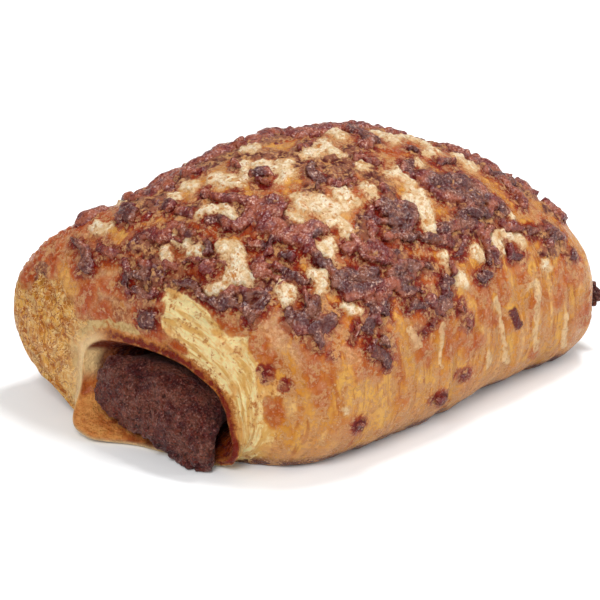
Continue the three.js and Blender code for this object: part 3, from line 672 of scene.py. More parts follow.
def dough_guides(angle):
    """The rings that guide the dough's surface, each as points at these angles."""
    flap = smooth(170, 232, angle) * (1 - smooth(245, 282, angle))
    funnel = smooth(120, 165, angle) * (1 - smooth(185, 225, angle))
    lip = -HALF_LENGTH - LIP_REACH - FLAP_REACH * flap
    thin = 1 - 0.5 * smooth(112, 138, angle) * (1 - smooth(205, 238, angle))
    edge = near_lip(angle, SHEET * thin)
    near_rim = section(angle, **NEAR_RIM)
    far_edge = mouth(angle, FAR_MOUTH, 1.5)
    far_rim = roll(angle, 1.0, 2.2)
    rings = [
        (0.0, tunnel(angle, 0.0, -1.6 * TUNNEL_INSET)),
        (12 - HALF_LENGTH, tunnel(angle, -0.75, -TUNNEL_INSET)),
        (-HALF_LENGTH - 0.5 - 3 * flap, mouth(angle, NEAR_MOUTH, -1.2 - FUNNEL * funnel, **THROAT_SQUARENESS)),
        (lip + 1.3, near_lip(angle, 0.0)),
        (lip - 0.2, near_lip(angle, 0.4 * SHEET)),
        (lip + 0.4, edge),
        (lip + 0.7 + 5.3 * flap, mix(edge, near_rim, 0.13)),
        (-HALF_LENGTH - 3.6, mix(edge, near_rim, 0.42)),
        (-HALF_LENGTH - 2.6, mix(edge, near_rim, 0.75)),
        (-HALF_LENGTH - 0.6, near_rim),
        (2.4 - HALF_LENGTH, mix(near_rim, roll(angle, -0.92), 0.62)),
        (HALF_LENGTH * -0.82, roll(angle, -0.82, 0.8)),
        *((HALF_LENGTH * share, roll(angle, share)) for share in (-0.66, -0.42, -0.14, 0.14, 0.42, 0.68, 0.86)),
        (HALF_LENGTH - 1.8, roll(angle, 0.96, 0.3)),
        (HALF_LENGTH + 1.0, far_rim),
        (HALF_LENGTH + 3.0, mix(far_edge, far_rim, 0.7)),
        (HALF_LENGTH + 4.0, mix(far_edge, far_rim, 0.3)),
        (HALF_LENGTH + 4.4, far_edge),
        (HALF_LENGTH + 4.6, mouth(angle, FAR_MOUTH, 0.7)),
        (HALF_LENGTH + 3.4, mouth(angle, FAR_MOUTH)),
        (HALF_LENGTH - 8, tunnel(angle, 0.8, -2.0)),
    ]
    return np.stack([
        np.concatenate([np.broadcast_to(x, angle.shape)[:, None], outline], axis=1)
        for x, outline in rings
    ])


FACE_START = 5.6
FACE_END = 9.3
CRUST_START = 8.0
CRUST_END = 20.5


def spline(guides, places, closed):
    """Rows of points on the uniform cubic B-spline through these guide rings."""
    first = np.floor(places).astype(int)
    t = (places - first)[:, None, None]
    weights = [
        (1 - t) ** 3 / 6,
        (3 * t**3 - 6 * t**2 + 4) / 6,
        (-3 * t**3 + 3 * t**2 + 3 * t + 1) / 6,
        t**3 / 6,
    ]
    points = 0.0
    for step, weight in enumerate(weights):
        index = first - 1 + step
        index = index % len(guides) if closed else np.clip(index, 0, len(guides) - 1)
        points = points + weight * guides[index]
    return points


def spread(values, weights, count):
    """So many of these values, with more where the weights are high."""
    total = np.concatenate([[0.0], np.cumsum(weights)])
    return np.interp(np.arange(count) / count * total[-1], total[:-1], values)


def dough_places(count):
    """Ring places for rows, fine on the crust and the near face and coarse in the tunnel."""
    angle = np.arange(0.0, 360.0, 15.0)
    guides = dough_guides(angle)
    places = np.arange(0.0, len(guides), 0.02)
    rows = spline(guides, places, closed=True)
    length = np.linalg.norm(np.roll(rows, -1, axis=0) - rows, axis=-1).mean(axis=1)
    face = smooth(2.0, 3.5, places) * (1 - smooth(9.5, 10.5, places))
    crust = smooth(9.0, 10.0, places) * (1 - smooth(19.5, 20.5, places))
    far = smooth(19.5, 20.5, places)
    hidden = (1 - smooth(1.0, 2.5, places)) + smooth(25.5, 26.2, places)
    fineness = 1.5 * face + 1.0 * crust + 0.7 * far
    return spread(places, length * np.maximum(fineness * (1 - np.clip(hidden, 0, 0.9)), 0.12), count)


def dough_angles(count):
    """Angles for columns, fine over the front, top and back and coarser underneath."""
    angle = np.arange(0.0, 360.0, 0.25)
    outline = roll(angle, 0.0)
    length = np.linalg.norm(np.roll(outline, -1, axis=0) - outline, axis=-1)
    under = smooth(215, 235, angle) * (1 - smooth(325, 340, angle))
    return spread(angle, length * (1 - 0.6 * under), count)


def surface_normals(grid, wrap_rows=True):
    """Unit normals of a grid of points that runs from the near end to the far one."""
    if wrap_rows:
        along = np.roll(grid, -1, axis=0) - np.roll(grid, 1, axis=0)
    else:
        along = np.gradient(grid, axis=0)
    around = np.roll(grid, -1, axis=1) - np.roll(grid, 1, axis=1)
    normal = np.cross(along, around)
    return normal / np.maximum(np.linalg.norm(normal, axis=-1, keepdims=True), 1e-9)


CAMERA_AZIMUTH = math.radians(-50.0)
CAMERA_ELEVATION = math.radians(20.0)
CAMERA_DISTANCE = 600.0
CAMERA_SCALE = 4.8
TARGET = np.array([0.0, 0.0, 24.0])
TARGET_PIXEL = (328.6, 273.4)
VIEW_RIGHT = np.array([math.cos(CAMERA_AZIMUTH), math.sin(CAMERA_AZIMUTH), 0.0])
VIEW_BACK = np.array([
    math.sin(CAMERA_AZIMUTH) * math.cos(CAMERA_ELEVATION),
    -math.cos(CAMERA_AZIMUTH) * math.cos(CAMERA_ELEVATION),
    math.sin(CAMERA_ELEVATION),
])
VIEW_UP = np.cross(VIEW_BACK, VIEW_RIGHT)
VIEWPOINT = TARGET + VIEW_BACK * CAMERA_DISTANCE
FOCAL_PIXELS = CAMERA_SCALE * CAMERA_DISTANCE
GRAZING = 0.32


def seen_pixels(points):
    """Where points show in the photograph: pixels across and down, and the distance away."""
    way = points - VIEWPOINT
    depth = -(way @ VIEW_BACK)
    across = TARGET_PIXEL[0] + FOCAL_PIXELS * (way @ VIEW_RIGHT) / depth
    down = TARGET_PIXEL[1] - FOCAL_PIXELS * (way @ VIEW_UP) / depth
    return across, down, depth


def squeezed(points):
    """Points drawn together along the line of sight, so that a seen patch keeps its shape."""
    return points - (1 - GRAZING) * (points @ VIEW_BACK)[..., None] * VIEW_BACK


class Dough:
    """The smooth dough, and the patches that lie on it as (start, end, radii) lines."""

    def __init__(self):
        angle = np.arange(0.0, 360.0, 1.0)
        place = np.arange(FACE_START, CRUST_END, 0.02)
        self.rows = spline(dough_guides(angle), place, closed=True)
        self.first_row = int((CRUST_START - FACE_START) / 0.02)
        normal = surface_normals(self.rows, wrap_rows=False)
        facing = np.sum(normal * (VIEWPOINT - self.rows), axis=-1) > 0
        self.shown = self.rows[facing]
        self.facing = normal[facing]
        self.across, self.down, self.depth = seen_pixels(self.shown)

    def on_crust(self, x, angle):
        column = int(round(angle)) % 360
        rows = self.rows[self.first_row:, column]
        return rows[int(np.argmin(np.abs(rows[:, 0] - x)))]

    def hidden(self, clumps):
        """Lines for clumps that are given along X and round."""
        made = []
        for radius, *places in clumps:
            points = [self.on_crust(x, angle) for x, angle in places]
            made += [(start, end, radius, radius) for start, end in zip(points, points[1:])]
        return made

    def seen(self, chains):
        """Lines for chains that are given in the photograph's pixels."""
        made = []
        for chain in chains:
            points, radii = [], []
            for across, down, radius in chain:
                nearest = int(np.argmin((self.across - across) ** 2 + (self.down - down) ** 2))
                points.append(squeezed(self.shown[nearest]))
                radii.append(radius * self.depth[nearest] / FOCAL_PIXELS)
            ends = points[1:] or points
            end_radii = radii[1:] or radii
            made += list(zip(points, ends, radii, end_radii))
        return made


def jostled(points):
    """Points pushed about a little, so that the patches laid on them get ragged outlines."""
    coarse = np.stack([noise(points, 3.4, seed) for seed in (21, 22, 23)], axis=-1)
    fine = np.stack([noise(points, 1.2, seed) for seed in (24, 25, 26)], axis=-1)
    return points + 0.85 * coarse + 0.4 * fine


def patch_field(points, lines, extra=0.0):
    """How deep each point lies in the nearest patch: 1 on its line, 0 at its edge."""
    flat = points.reshape(-1, 3)
    field = np.full(len(flat), -9.0)
    for start, end, first, last in lines:
        reach = 3.2 * (max(first, last) + extra)
        low = np.minimum(start, end) - reach
        high = np.maximum(start, end) + reach
        near = np.flatnonzero(np.all((flat > low) & (flat < high), axis=1))
        if len(near) == 0:
            continue
        local = flat[near]
        way = end - start
        length = max(float(way @ way), 1e-9)
        share = np.clip((local - start) @ way / length, 0.0, 1.0)
        apart = np.linalg.norm(local - start - share[:, None] * way, axis=1)
        radius = first + (last - first) * share + extra
        field[near] = np.maximum(field[near], 1.0 - (apart / radius) ** 2)
    return field.reshape(points.shape[:-1])


# Meshes

def new_mesh(name, points, faces, attributes, material, node=None):
    """A piece that rides on the pastry, from points in the roll's millimetres."""
    mesh = bpy.data.meshes.new(name)
    mesh.from_pydata(((points - ORIGIN) * MM).tolist(), [], faces.tolist())
    for key, values in attributes.items():
        if values.ndim == 1:
            layer = mesh.attributes.new(key, "FLOAT", "POINT")
            layer.data.foreach_set("value", values.astype(np.float32))
        else:
            layer = mesh.attributes.new(key, "FLOAT_VECTOR", "POINT")
            layer.data.foreach_set("vector", values.astype(np.float32).ravel())
    mesh.polygons.foreach_set("use_smooth", np.ones(len(faces), dtype=bool))
    mesh.materials.append(material)
    mesh.update()
    piece = bpy.data.objects.new(name, mesh)
    bpy.context.scene.collection.objects.link(piece)
    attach(piece, "root")
    if node is not None:
        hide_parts(node)
    return piece


def torus_faces(rows, columns):
    """Quads of a grid that closes on itself both ways."""
    row, column = np.meshgrid(np.arange(rows), np.arange(columns), indexing="ij")
    after = (row + 1) % rows
    beside = (column + 1) % columns
    corners = [row * columns + column, after * columns + column,
               after * columns + beside, row * columns + beside]
    return np.stack([c.ravel() for c in corners], axis=1)


def swelling(points):
    """The dough's own large and small unevenness, which everything baked onto it shares."""
    return 0.4 * rough(points, 14.0, 2, 41) + 0.16 * rough(points, 3.4, 2, 43)


def make_dough(dough, material):
    angle = dough_angles(DOUGH_COLUMNS)
    place = dough_places(DOUGH_ROWS)
    guides = dough_guides(angle)
    grid = spline(guides, place, closed=True)
    normal = surface_normals(grid)
    pushed = jostled(grid)
    flat = squeezed(pushed)
    place = np.broadcast_to(place[:, None], grid.shape[:2])
    turn = np.broadcast_to(angle[None, :], grid.shape[:2])

    onto_crust = smooth(8.6, 9.4, place) * (1 - smooth(19.6, 20.4, place))
    outside = smooth(5.4, 6.0, place) * (1 - smooth(20.6, 21.6, place))
    layer = (place - FACE_START) / (FACE_END - FACE_START)
    sheet_side = smooth(112, 138, turn) * (1 - smooth(285, 305, turn))
    lip = np.exp(-(((place - 4.7) / 0.9) ** 2)) * (1 - sheet_side)
    rim = np.exp(-(((place - 4.9) / 1.0) ** 2)) * sheet_side
    inner = smooth(4.4, 3.4, place) + smooth(24.0, 25.0, place)
    top = smooth(30, 62, turn) * (1 - smooth(150, 185, turn))
    far = smooth(20.4, 21.2, place) * (1 - smooth(24.0, 25.0, place))
    sheet = smooth(112, 140, turn) * (1 - smooth(262, 276, turn)) * smooth(-46.5, -48.5, grid[..., 0])

    fine = rough(grid, 1.3, 2, 15)
    hidden_dark = patch_field(pushed, dough.hidden(DARK_HIDDEN), 0.9)
    pale_field = np.maximum(
        patch_field(flat, dough.seen(PALE_SEEN), 0.7), patch_field(pushed, dough.hidden(PALE_HIDDEN), 0.5))
    dark_field = np.maximum(patch_field(flat, dough.seen(DARK_SEEN), 1.2), hidden_dark)
    film_field = np.maximum(
        patch_field(flat, dough.seen(FILM_SEEN), 0.6), patch_field(pushed, dough.hidden(FILM_HIDDEN)))
    glaze_field = patch_field(flat, dough.seen(GLAZE_SEEN), 1.3)
    gold_field = patch_field(flat, dough.seen(GOLD_SEEN), 1.0)
    pink_sheen_field = patch_field(flat, dough.seen(PINK_SHEEN_SEEN), 1.0)
    ridge_field = patch_field(flat, dough.seen(RIDGES_SEEN), 0.35)
    drop_field = patch_field(flat, dough.seen(DROPS_SEEN), 0.6)
    layers_field = patch_field(flat, dough.seen(LAYERS_SEEN), 0.7)

    pale = smooth(-0.3, 0.9, pale_field + 0.15 * fine) * outside
    film = smooth(-0.6, 0.8, film_field + 0.3 * fine) * outside
    glaze = smooth(-0.5, 1.0, glaze_field) * outside
    stain = smooth(-0.8, 1.0, dark_field) * outside
    gold = smooth(-0.4, 0.9, gold_field) * outside
    pink_sheen = smooth(-0.6, 0.9, pink_sheen_field) * outside
    ridge = smooth(-0.4, 0.8, ridge_field) * outside
    drop = smooth(-0.2, 0.8, drop_field) * outside
    bared = smooth(-0.3, 0.8, layers_field) * outside
    film = film * (1 - 0.85 * gold) * (1 - pale)

    along = np.stack([grid[..., 0], turn * 0.07, 0 * turn], axis=-1)
    folds = 0.34 * rough(along, 3.0, 4, 45) * (1 - top)
    lumps = pebbles(grid, 2.3, 49)
    beads = pebbles(grid, 1.4, 47, 0.25, 0.6)
    thick = smooth(0.35, 0.9, pale)
    crust_relief = folds + PALE_HEIGHT * thick * (0.6 + 0.5 * lumps + 0.3 * beads)
    crust_relief += film * (0.15 + 0.5 * beads + 0.3 * lumps)
    crust_relief += 0.3 * np.maximum(stain, glaze) * (1 - film) * beads
    crust_relief += 0.35 * drop + 0.16 * top * beads + ridge * (0.15 + 0.5 * beads)
    relief = outside * swelling(grid) + onto_crust * crust_relief

    cut = smooth(92, 74, turn) + smooth(238, 252, turn)
    left = smooth(112, 136, turn) * (1 - smooth(232, 250, turn))
    face = smooth(5.2, 5.8, place) * (1 - smooth(8.9, 9.7, place))
    strands = np.stack([0.16 * grid[..., 0], turn * 0.1, layer * 14.0], axis=-1)
    steps = 0.42 * rough(strands, 1.5, 3, 51)
    bent = grid + 0.9 * np.stack([rough(grid, 4.0, 2, seed) for seed in (58, 59, 60)], axis=-1)
    crumpled = np.abs(rough(bent * np.array([1.0, 0.8, 0.8]), 2.0, 3, 55))
    folded = np.abs(rough(strands * np.array([1.0, 1.0, 0.6]), 1.6, 3, 54))
    upper = smooth(14, 20, grid[..., 2])
    wrinkled = mix(folded, crumpled, upper)
    relief = relief + face * (steps * cut + left * (0.4 - 1.0 * wrinkled))
    relief = relief + lip * 0.6 * rough(grid, 4.0, 3, 57)
    grid = grid + normal * relief[..., None]
    grid[..., 2] = np.maximum(grid[..., 2], 0.0)

    wrap = np.stack([grid[..., 0], ((turn + 90) % 360) * 0.7, layer * 14.0], axis=-1)
    attributes = {
        "pale": pale, "stain": stain, "film": film, "glaze": glaze, "gold": gold, "pink_sheen": pink_sheen, "ridge": ridge, "drop": drop,
        "bared": bared, "cut": face * cut, "left": face * left, "sheet": sheet, "lip": lip, "rim": rim,
        "inner": inner, "far": far, "top": top, "bead": np.maximum(beads, lumps),
        "crease": wrinkled, "wrap": wrap,
    }
    flat = {
        key: values.reshape(-1, 3) if values.ndim == 3 else values.ravel()
        for key, values in attributes.items()
    }
    faces = torus_faces(*grid.shape[:2])
    return new_mesh("dough", grid.reshape(-1, 3), faces, flat, material, "pastry")


def make_crumble(dough, material):
    """The dark baked-on crumble, as a closed skin that shows where it stands above the dough."""
    angle = np.arange(-22.0, 186.0, CRUMBLE_STEP / 0.62)
    guides = dough_guides(angle % 360)
    place = np.arange(5.7, 20.6, 0.01)
    rows = spline(guides, place, closed=True)
    length = np.linalg.norm(np.diff(rows, axis=0), axis=-1).mean(axis=1)
    place = spread(place[1:], length, int(length.sum() / CRUMBLE_STEP))
    grid = spline(guides, place, closed=True)
    normal = surface_normals(grid, wrap_rows=False)

    pushed = jostled(grid)
    flat = squeezed(pushed)
    field = np.maximum(
        patch_field(flat, dough.seen(DARK_SEEN)), patch_field(pushed, dough.hidden(DARK_HIDDEN)))
    near = np.maximum(
        patch_field(flat, dough.seen(FILM_SEEN)), patch_field(pushed, dough.hidden(FILM_HIDDEN)))
    grid = grid + normal * swelling(grid)[..., None]
    edge = field + 0.1 + 0.22 * rough(grid, 1.8, 2, 61)
    body = smooth(-0.35, 0.9, edge)
    big = pebbles(grid, 4.4, 63, 0.5, 0.95)
    small = pebbles(grid, 1.7, 65, 0.35, 0.8)
    bumps = 1.05 * big + 0.25 * small
    height = body * (0.3 + DARK_HEIGHT * 0.8 * bumps) + 0.1 * noise(grid, 0.6, 67) * body
    height = np.where(edge > -0.6, height - 0.55 * smooth(0.05, -0.6, edge), -1.0)
    loose = pebbles(grid, 2.4, 69, 0.02, 0.42)
    around = smooth(-1.1, 0.2, np.maximum(near, field)) * smooth(8.4, 9.0, place)[:, None]
    height = np.maximum(height, 0.95 * loose * around - 0.42)

    shown = height > -0.22
    cells = shown[:-1, :-1] & shown[1:, :-1] & shown[1:, 1:] & shown[:-1, 1:]
    row_count, columns = grid.shape[:2]
    number = np.arange(row_count * columns).reshape(row_count, columns)
    top = np.stack([number[:-1, :-1][cells], number[1:, :-1][cells],
                    number[1:, 1:][cells], number[:-1, 1:][cells]], axis=1)
    sides = edge_pairs(top)
    offset = row_count * columns
    walls = np.stack([sides[:, 1], sides[:, 0], sides[:, 0] + offset, sides[:, 1] + offset], axis=1)
    faces = np.concatenate([top, top[:, ::-1] + offset, walls])
    upper = grid + normal * height[..., None]
    lower = grid - normal * 0.5
    points = np.concatenate([upper.reshape(-1, 3), lower.reshape(-1, 3)])
    char = patch_field(squeezed(grid), dough.seen(CHARRED_SEEN)) + 0.4 * rough(grid, 4.0, 2, 71)
    char = smooth(-0.8, 0.4, char)
    values = {"rise": height, "bump": bumps, "char": char}
    used, faces = np.unique(faces, return_inverse=True)
    faces = faces.reshape(-1, 4)
    attributes = {key: np.tile(layer.ravel(), 2)[used] for key, layer in values.items()}
    return new_mesh("crumble", points[used], faces, attributes, material)


def edge_pairs(quads):
    """The directed edges that only one quad uses."""
    edges = np.concatenate([quads[:, [side, (side + 1) % 4]] for side in range(4)])
    limit = edges.max() + 1
    forward = edges[:, 0].astype(np.int64) * limit + edges[:, 1]
    backward = edges[:, 1].astype(np.int64) * limit + edges[:, 0]
    return edges[~np.isin(forward, backward)]


# The chocolate filling

FILLING_GUIDES = [
    (-HALF_LENGTH - 9.2, {"front": -3.6, "back": -2.4, "bottom": 6.8, "top": 8.0}, 1.0),
    (-HALF_LENGTH - 8.8, {"front": -9.0, "back": 6.0, "bottom": 3.4, "top": 12.0}, 1.0),
    (-HALF_LENGTH - 8.4, {"front": -13.2, "back": 13.0, "bottom": -1.2, "top": 14.6}, 1.0),
    (-HALF_LENGTH - 6.0, {"front": -14.6, "back": 18.4, "bottom": -2.2, "top": 16.8}, 1.0),
    (-HALF_LENGTH - 3.2, {"front": -13.4, "back": 19.2, "bottom": 3.0, "top": 17.6}, 0.5),
    (-HALF_LENGTH - 0.4, {"front": -11.8, "back": 17.6, "bottom": 5.2, "top": 17.0}, 0.0),
    (-HALF_LENGTH + 5.0, {"front": -12.0, "back": 16.6, "bottom": 6.2, "top": 15.6}, 0.0),
    (-HALF_LENGTH * 0.6, {"front": -12.6, "back": 14.4, "bottom": 7.4, "top": 15.8}, 0.0),
    (0.0, {"front": -18.6, "back": 8.4, "bottom": 8.6, "top": 15.8}, 0.0),
    (HALF_LENGTH * 0.6, {"front": -22.8, "back": 3.6, "bottom": 9.8, "top": 16.2}, 0.0),
    (HALF_LENGTH * 0.93, {"front": -26.8, "back": 1.8, "bottom": 9.0, "top": 17.8}, 0.0),
    (HALF_LENGTH + 4.6, {"front": -28.2, "back": 3.4, "bottom": 7.8, "top": 18.8}, 0.0),
    (HALF_LENGTH + 7.6, {"front": -33.0, "back": 1.0, "bottom": 6.2, "top": 18.4}, 0.0),
    (HALF_LENGTH + 8.8, {"front": -31.0, "back": -4.0, "bottom": 7.6, "top": 17.0}, 0.0),
    (HALF_LENGTH + 9.0, {"front": -16.0, "back": -15.0, "bottom": 11.5, "top": 12.5}, 0.0),
]


def sheet_top(y):
    """The height of the near mouth's lower edge at a place across, and the gap over it."""
    across = (2 * y - NEAR_MOUTH["front"] - NEAR_MOUTH["back"]) / (NEAR_MOUTH["back"] - NEAR_MOUTH["front"])
    drop = np.sqrt(1 - np.abs(np.clip(across, -0.95, 0.95)) ** 3)
    middle = (NEAR_MOUTH["bottom"] + NEAR_MOUTH["top"]) / 2
    return middle - (NEAR_MOUTH["top"] - NEAR_MOUTH["bottom"]) / 2 * drop + SHEET_GAP


def filling_guides(angle):
    rings = []
    for x, limits, lean in FILLING_GUIDES:
        outline = mouth(angle, limits, 0.0, **FILLING_SQUARENESS)
        below = np.maximum((limits["bottom"] + limits["top"]) / 2 - outline[:, 1], 0.0)
        outline[:, 0] -= LUMP_SKEW * lean * below
        forward = 2.4 * (1 - smooth(-16, 4, outline[:, 0])) - 3.0 * (1 - smooth(-2, 8, outline[:, 1]))
        rings.append(np.concatenate([(x - lean * forward)[:, None], outline], axis=1))
    return np.stack(rings)


def make_filling(material):
    angle = np.arange(FILLING_COLUMNS) / FILLING_COLUMNS * 360.0
    guides = filling_guides(angle)
    last = len(guides) - 1
    fine = np.linspace(0.0, last, 2000)
    rows = spline(guides, fine, closed=False)
    length = np.linalg.norm(np.diff(rows, axis=0), axis=-1).mean(axis=1)
    weight = length * (1 - 0.93 * smooth(5.2, 6.2, fine[1:]) * (1 - smooth(9.4, 10.2, fine[1:])))
    places = np.append(spread(fine[1:], weight, FILLING_ROWS - 1), last)
    places[0] = 0.0
    grid = spline(guides, places, closed=False)
    normal = surface_normals(grid, wrap_rows=False)
    place = np.broadcast_to(places[:, None], grid.shape[:2])
    loose = (1 - smooth(4.0, 5.2, place)) + smooth(11.0, 11.6, place)
    pits = pebbles(grid, 2.1, 81, 0.02, 0.3)
    pocks = pebbles(grid, 1.0, 83, 0.05, 0.4)
    grains = pebbles(grid, 1.5, 89, 0.3, 0.75)
    relief = 0.75 * rough(grid, 5.0, 4, 85) + 0.25 * rough(grid, 1.1, 2, 87)
    relief = relief + 0.75 * grains - 0.55 * pits - 0.3 * pocks - 0.3
    grid = grid + normal * (relief * loose)[..., None]
    edge = HALF_LENGTH + LIP_REACH + FLAP_REACH * smooth(-4, 16, grid[..., 1])
    past_lip = smooth(edge + 0.4, edge + 1.6, -grid[..., 0])
    off_sheet = 1 - smooth(2, 7, grid[..., 1])
    floor = mix(sheet_top(grid[..., 1]), TABLE_GAP, past_lip * off_sheet)
    grid[..., 2] = np.maximum(grid[..., 2], floor)

    columns = FILLING_COLUMNS
    body = torus_faces(*grid.shape[:2])[: (FILLING_ROWS - 1) * columns]
    near, far = FILLING_ROWS * columns, FILLING_ROWS * columns + 1
    around = np.arange(columns)
    beside = (around + 1) % columns
    start = np.stack([around, beside, np.full(columns, near), np.full(columns, near)], axis=1)
    final = (FILLING_ROWS - 1) * columns
    end = np.stack([beside + final, around + final, np.full(columns, far), np.full(columns, far)], axis=1)
    points = np.concatenate([grid.reshape(-1, 3), grid[0].mean(0)[None], grid[-1].mean(0)[None]])
    quads = body
    caps = np.concatenate([start, end])[:, :3]
    pit = np.concatenate([np.maximum(pits, pocks).ravel(), [0.0, 0.0]])
    attributes = {"pit": pit * np.concatenate([loose.ravel(), [1.0, 1.0]])}
    mesh_faces = FaceList(quads, caps)
    return new_mesh("chocolate", points, mesh_faces, attributes, material, "filling")


class FaceList:
    """Quads and triangles together, in the form that new_mesh takes."""

    def __init__(self, quads, triangles):
        self.faces = quads.tolist() + triangles.tolist()

    def __len__(self):
        return len(self.faces)

    def tolist(self):
        return self.faces


# Materials

SHEEN = 0.034
EXPOSURE = 0.86


def shown(red, green, blue):
    """Linear light for a colour that shows on a screen as these, less the lights' own sheen."""
    shares = [value / 255 for value in (red, green, blue)]
    light = [share / 12.92 if share <= 0.04045 else ((share + 0.055) / 1.055) ** 2.4 for share in shares]
    return (*[max((value - SHEEN) / EXPOSURE, 0.002) for value in light], 1.0)


class Shader:
    """A node tree with short calls for the nodes that the materials use."""

    def __init__(self, name):
        self.material = bpy.data.materials.new(name)
        self.material.use_nodes = True
        self.tree = self.material.node_tree
        self.bsdf = self.tree.nodes["Principled BSDF"]
        self.where = self.node("ShaderNodeTexCoord").outputs["Object"]

    def node(self, kind, **settings):
        made = self.tree.nodes.new(kind)
        for key, value in settings.items():
            setattr(made, key, value)
        return made

    def put(self, value, socket):
        if isinstance(value, bpy.types.NodeSocket):
            self.tree.links.new(value, socket)
        else:
            socket.default_value = value

    def attribute(self, name, output="Fac"):
        return self.node("ShaderNodeAttribute", attribute_name=name).outputs[output]

    def scaled(self, vector, by):
        made = self.node("ShaderNodeVectorMath", operation="MULTIPLY")
        self.put(vector, made.inputs[0])
        made.inputs[1].default_value = by
        return made.outputs[0]

    def noise(self, size, detail=3.0, vector=None, roughness=0.55, distortion=0.0):
        """Noise whose features are about that many millimetres across, from 0 to 1."""
        made = self.node("ShaderNodeTexNoise")
        self.put(self.where if vector is None else vector, made.inputs["Vector"])
        made.inputs["Scale"].default_value = 1 / (size * MM) if vector is None else 1 / size
        made.inputs["Detail"].default_value = detail
        made.inputs["Roughness"].default_value = roughness
        made.inputs["Distortion"].default_value = distortion
        return made.outputs["Fac"]

    def cells(self, size, vector=None, feature="F1"):
        made = self.node("ShaderNodeTexVoronoi", feature=feature)
        self.put(self.where if vector is None else vector, made.inputs["Vector"])
        made.inputs["Scale"].default_value = 1 / (size * MM) if vector is None else 1 / size
        return made.outputs["Distance"]

    def math(self, operation, first, second=0.0, third=0.0, clamp=False):
        made = self.node("ShaderNodeMath", operation=operation, use_clamp=clamp)
        for socket, value in zip(made.inputs, (first, second, third)):
            self.put(value, socket)
        return made.outputs[0]

    def step(self, value, low, high):
        """0 below low and 1 above high, with a smooth rise between; a low above high falls."""
        made = self.node("ShaderNodeMapRange", interpolation_type="SMOOTHSTEP")
        falls = low > high
        self.put(value, made.inputs["Value"])
        made.inputs["From Min"].default_value = min(low, high)
        made.inputs["From Max"].default_value = max(low, high)
        made.inputs["To Min"].default_value = 1.0 if falls else 0.0
        made.inputs["To Max"].default_value = 0.0 if falls else 1.0
        return made.outputs["Result"]

    def blend(self, first, second, share):
        """A colour between two, by a share from 0 to 1."""
        made = self.node("ShaderNodeMix", data_type="RGBA")
        self.put(share, made.inputs[0])
        self.put(first, made.inputs[6])
        self.put(second, made.inputs[7])
        return made.outputs[2]

    def value(self, first, second, share):
        """A number between two, by a share from 0 to 1."""
        made = self.node("ShaderNodeMix", data_type="FLOAT")
        self.put(share, made.inputs[0])
        self.put(first, made.inputs[2])
        self.put(second, made.inputs[3])
        return made.outputs[0]

    def bump(self, height, distance, strength=1.0, normal=None):
        made = self.node("ShaderNodeBump")
        made.inputs["Strength"].default_value = strength
        made.inputs["Distance"].default_value = distance * MM
        self.put(height, made.inputs["Height"])
        if normal is not None:
            self.put(normal, made.inputs["Normal"])
        return made.outputs[0]

    def set(self, **inputs):
        for key, value in inputs.items():
            self.put(value, self.bsdf.inputs[key.replace("_", " ")])


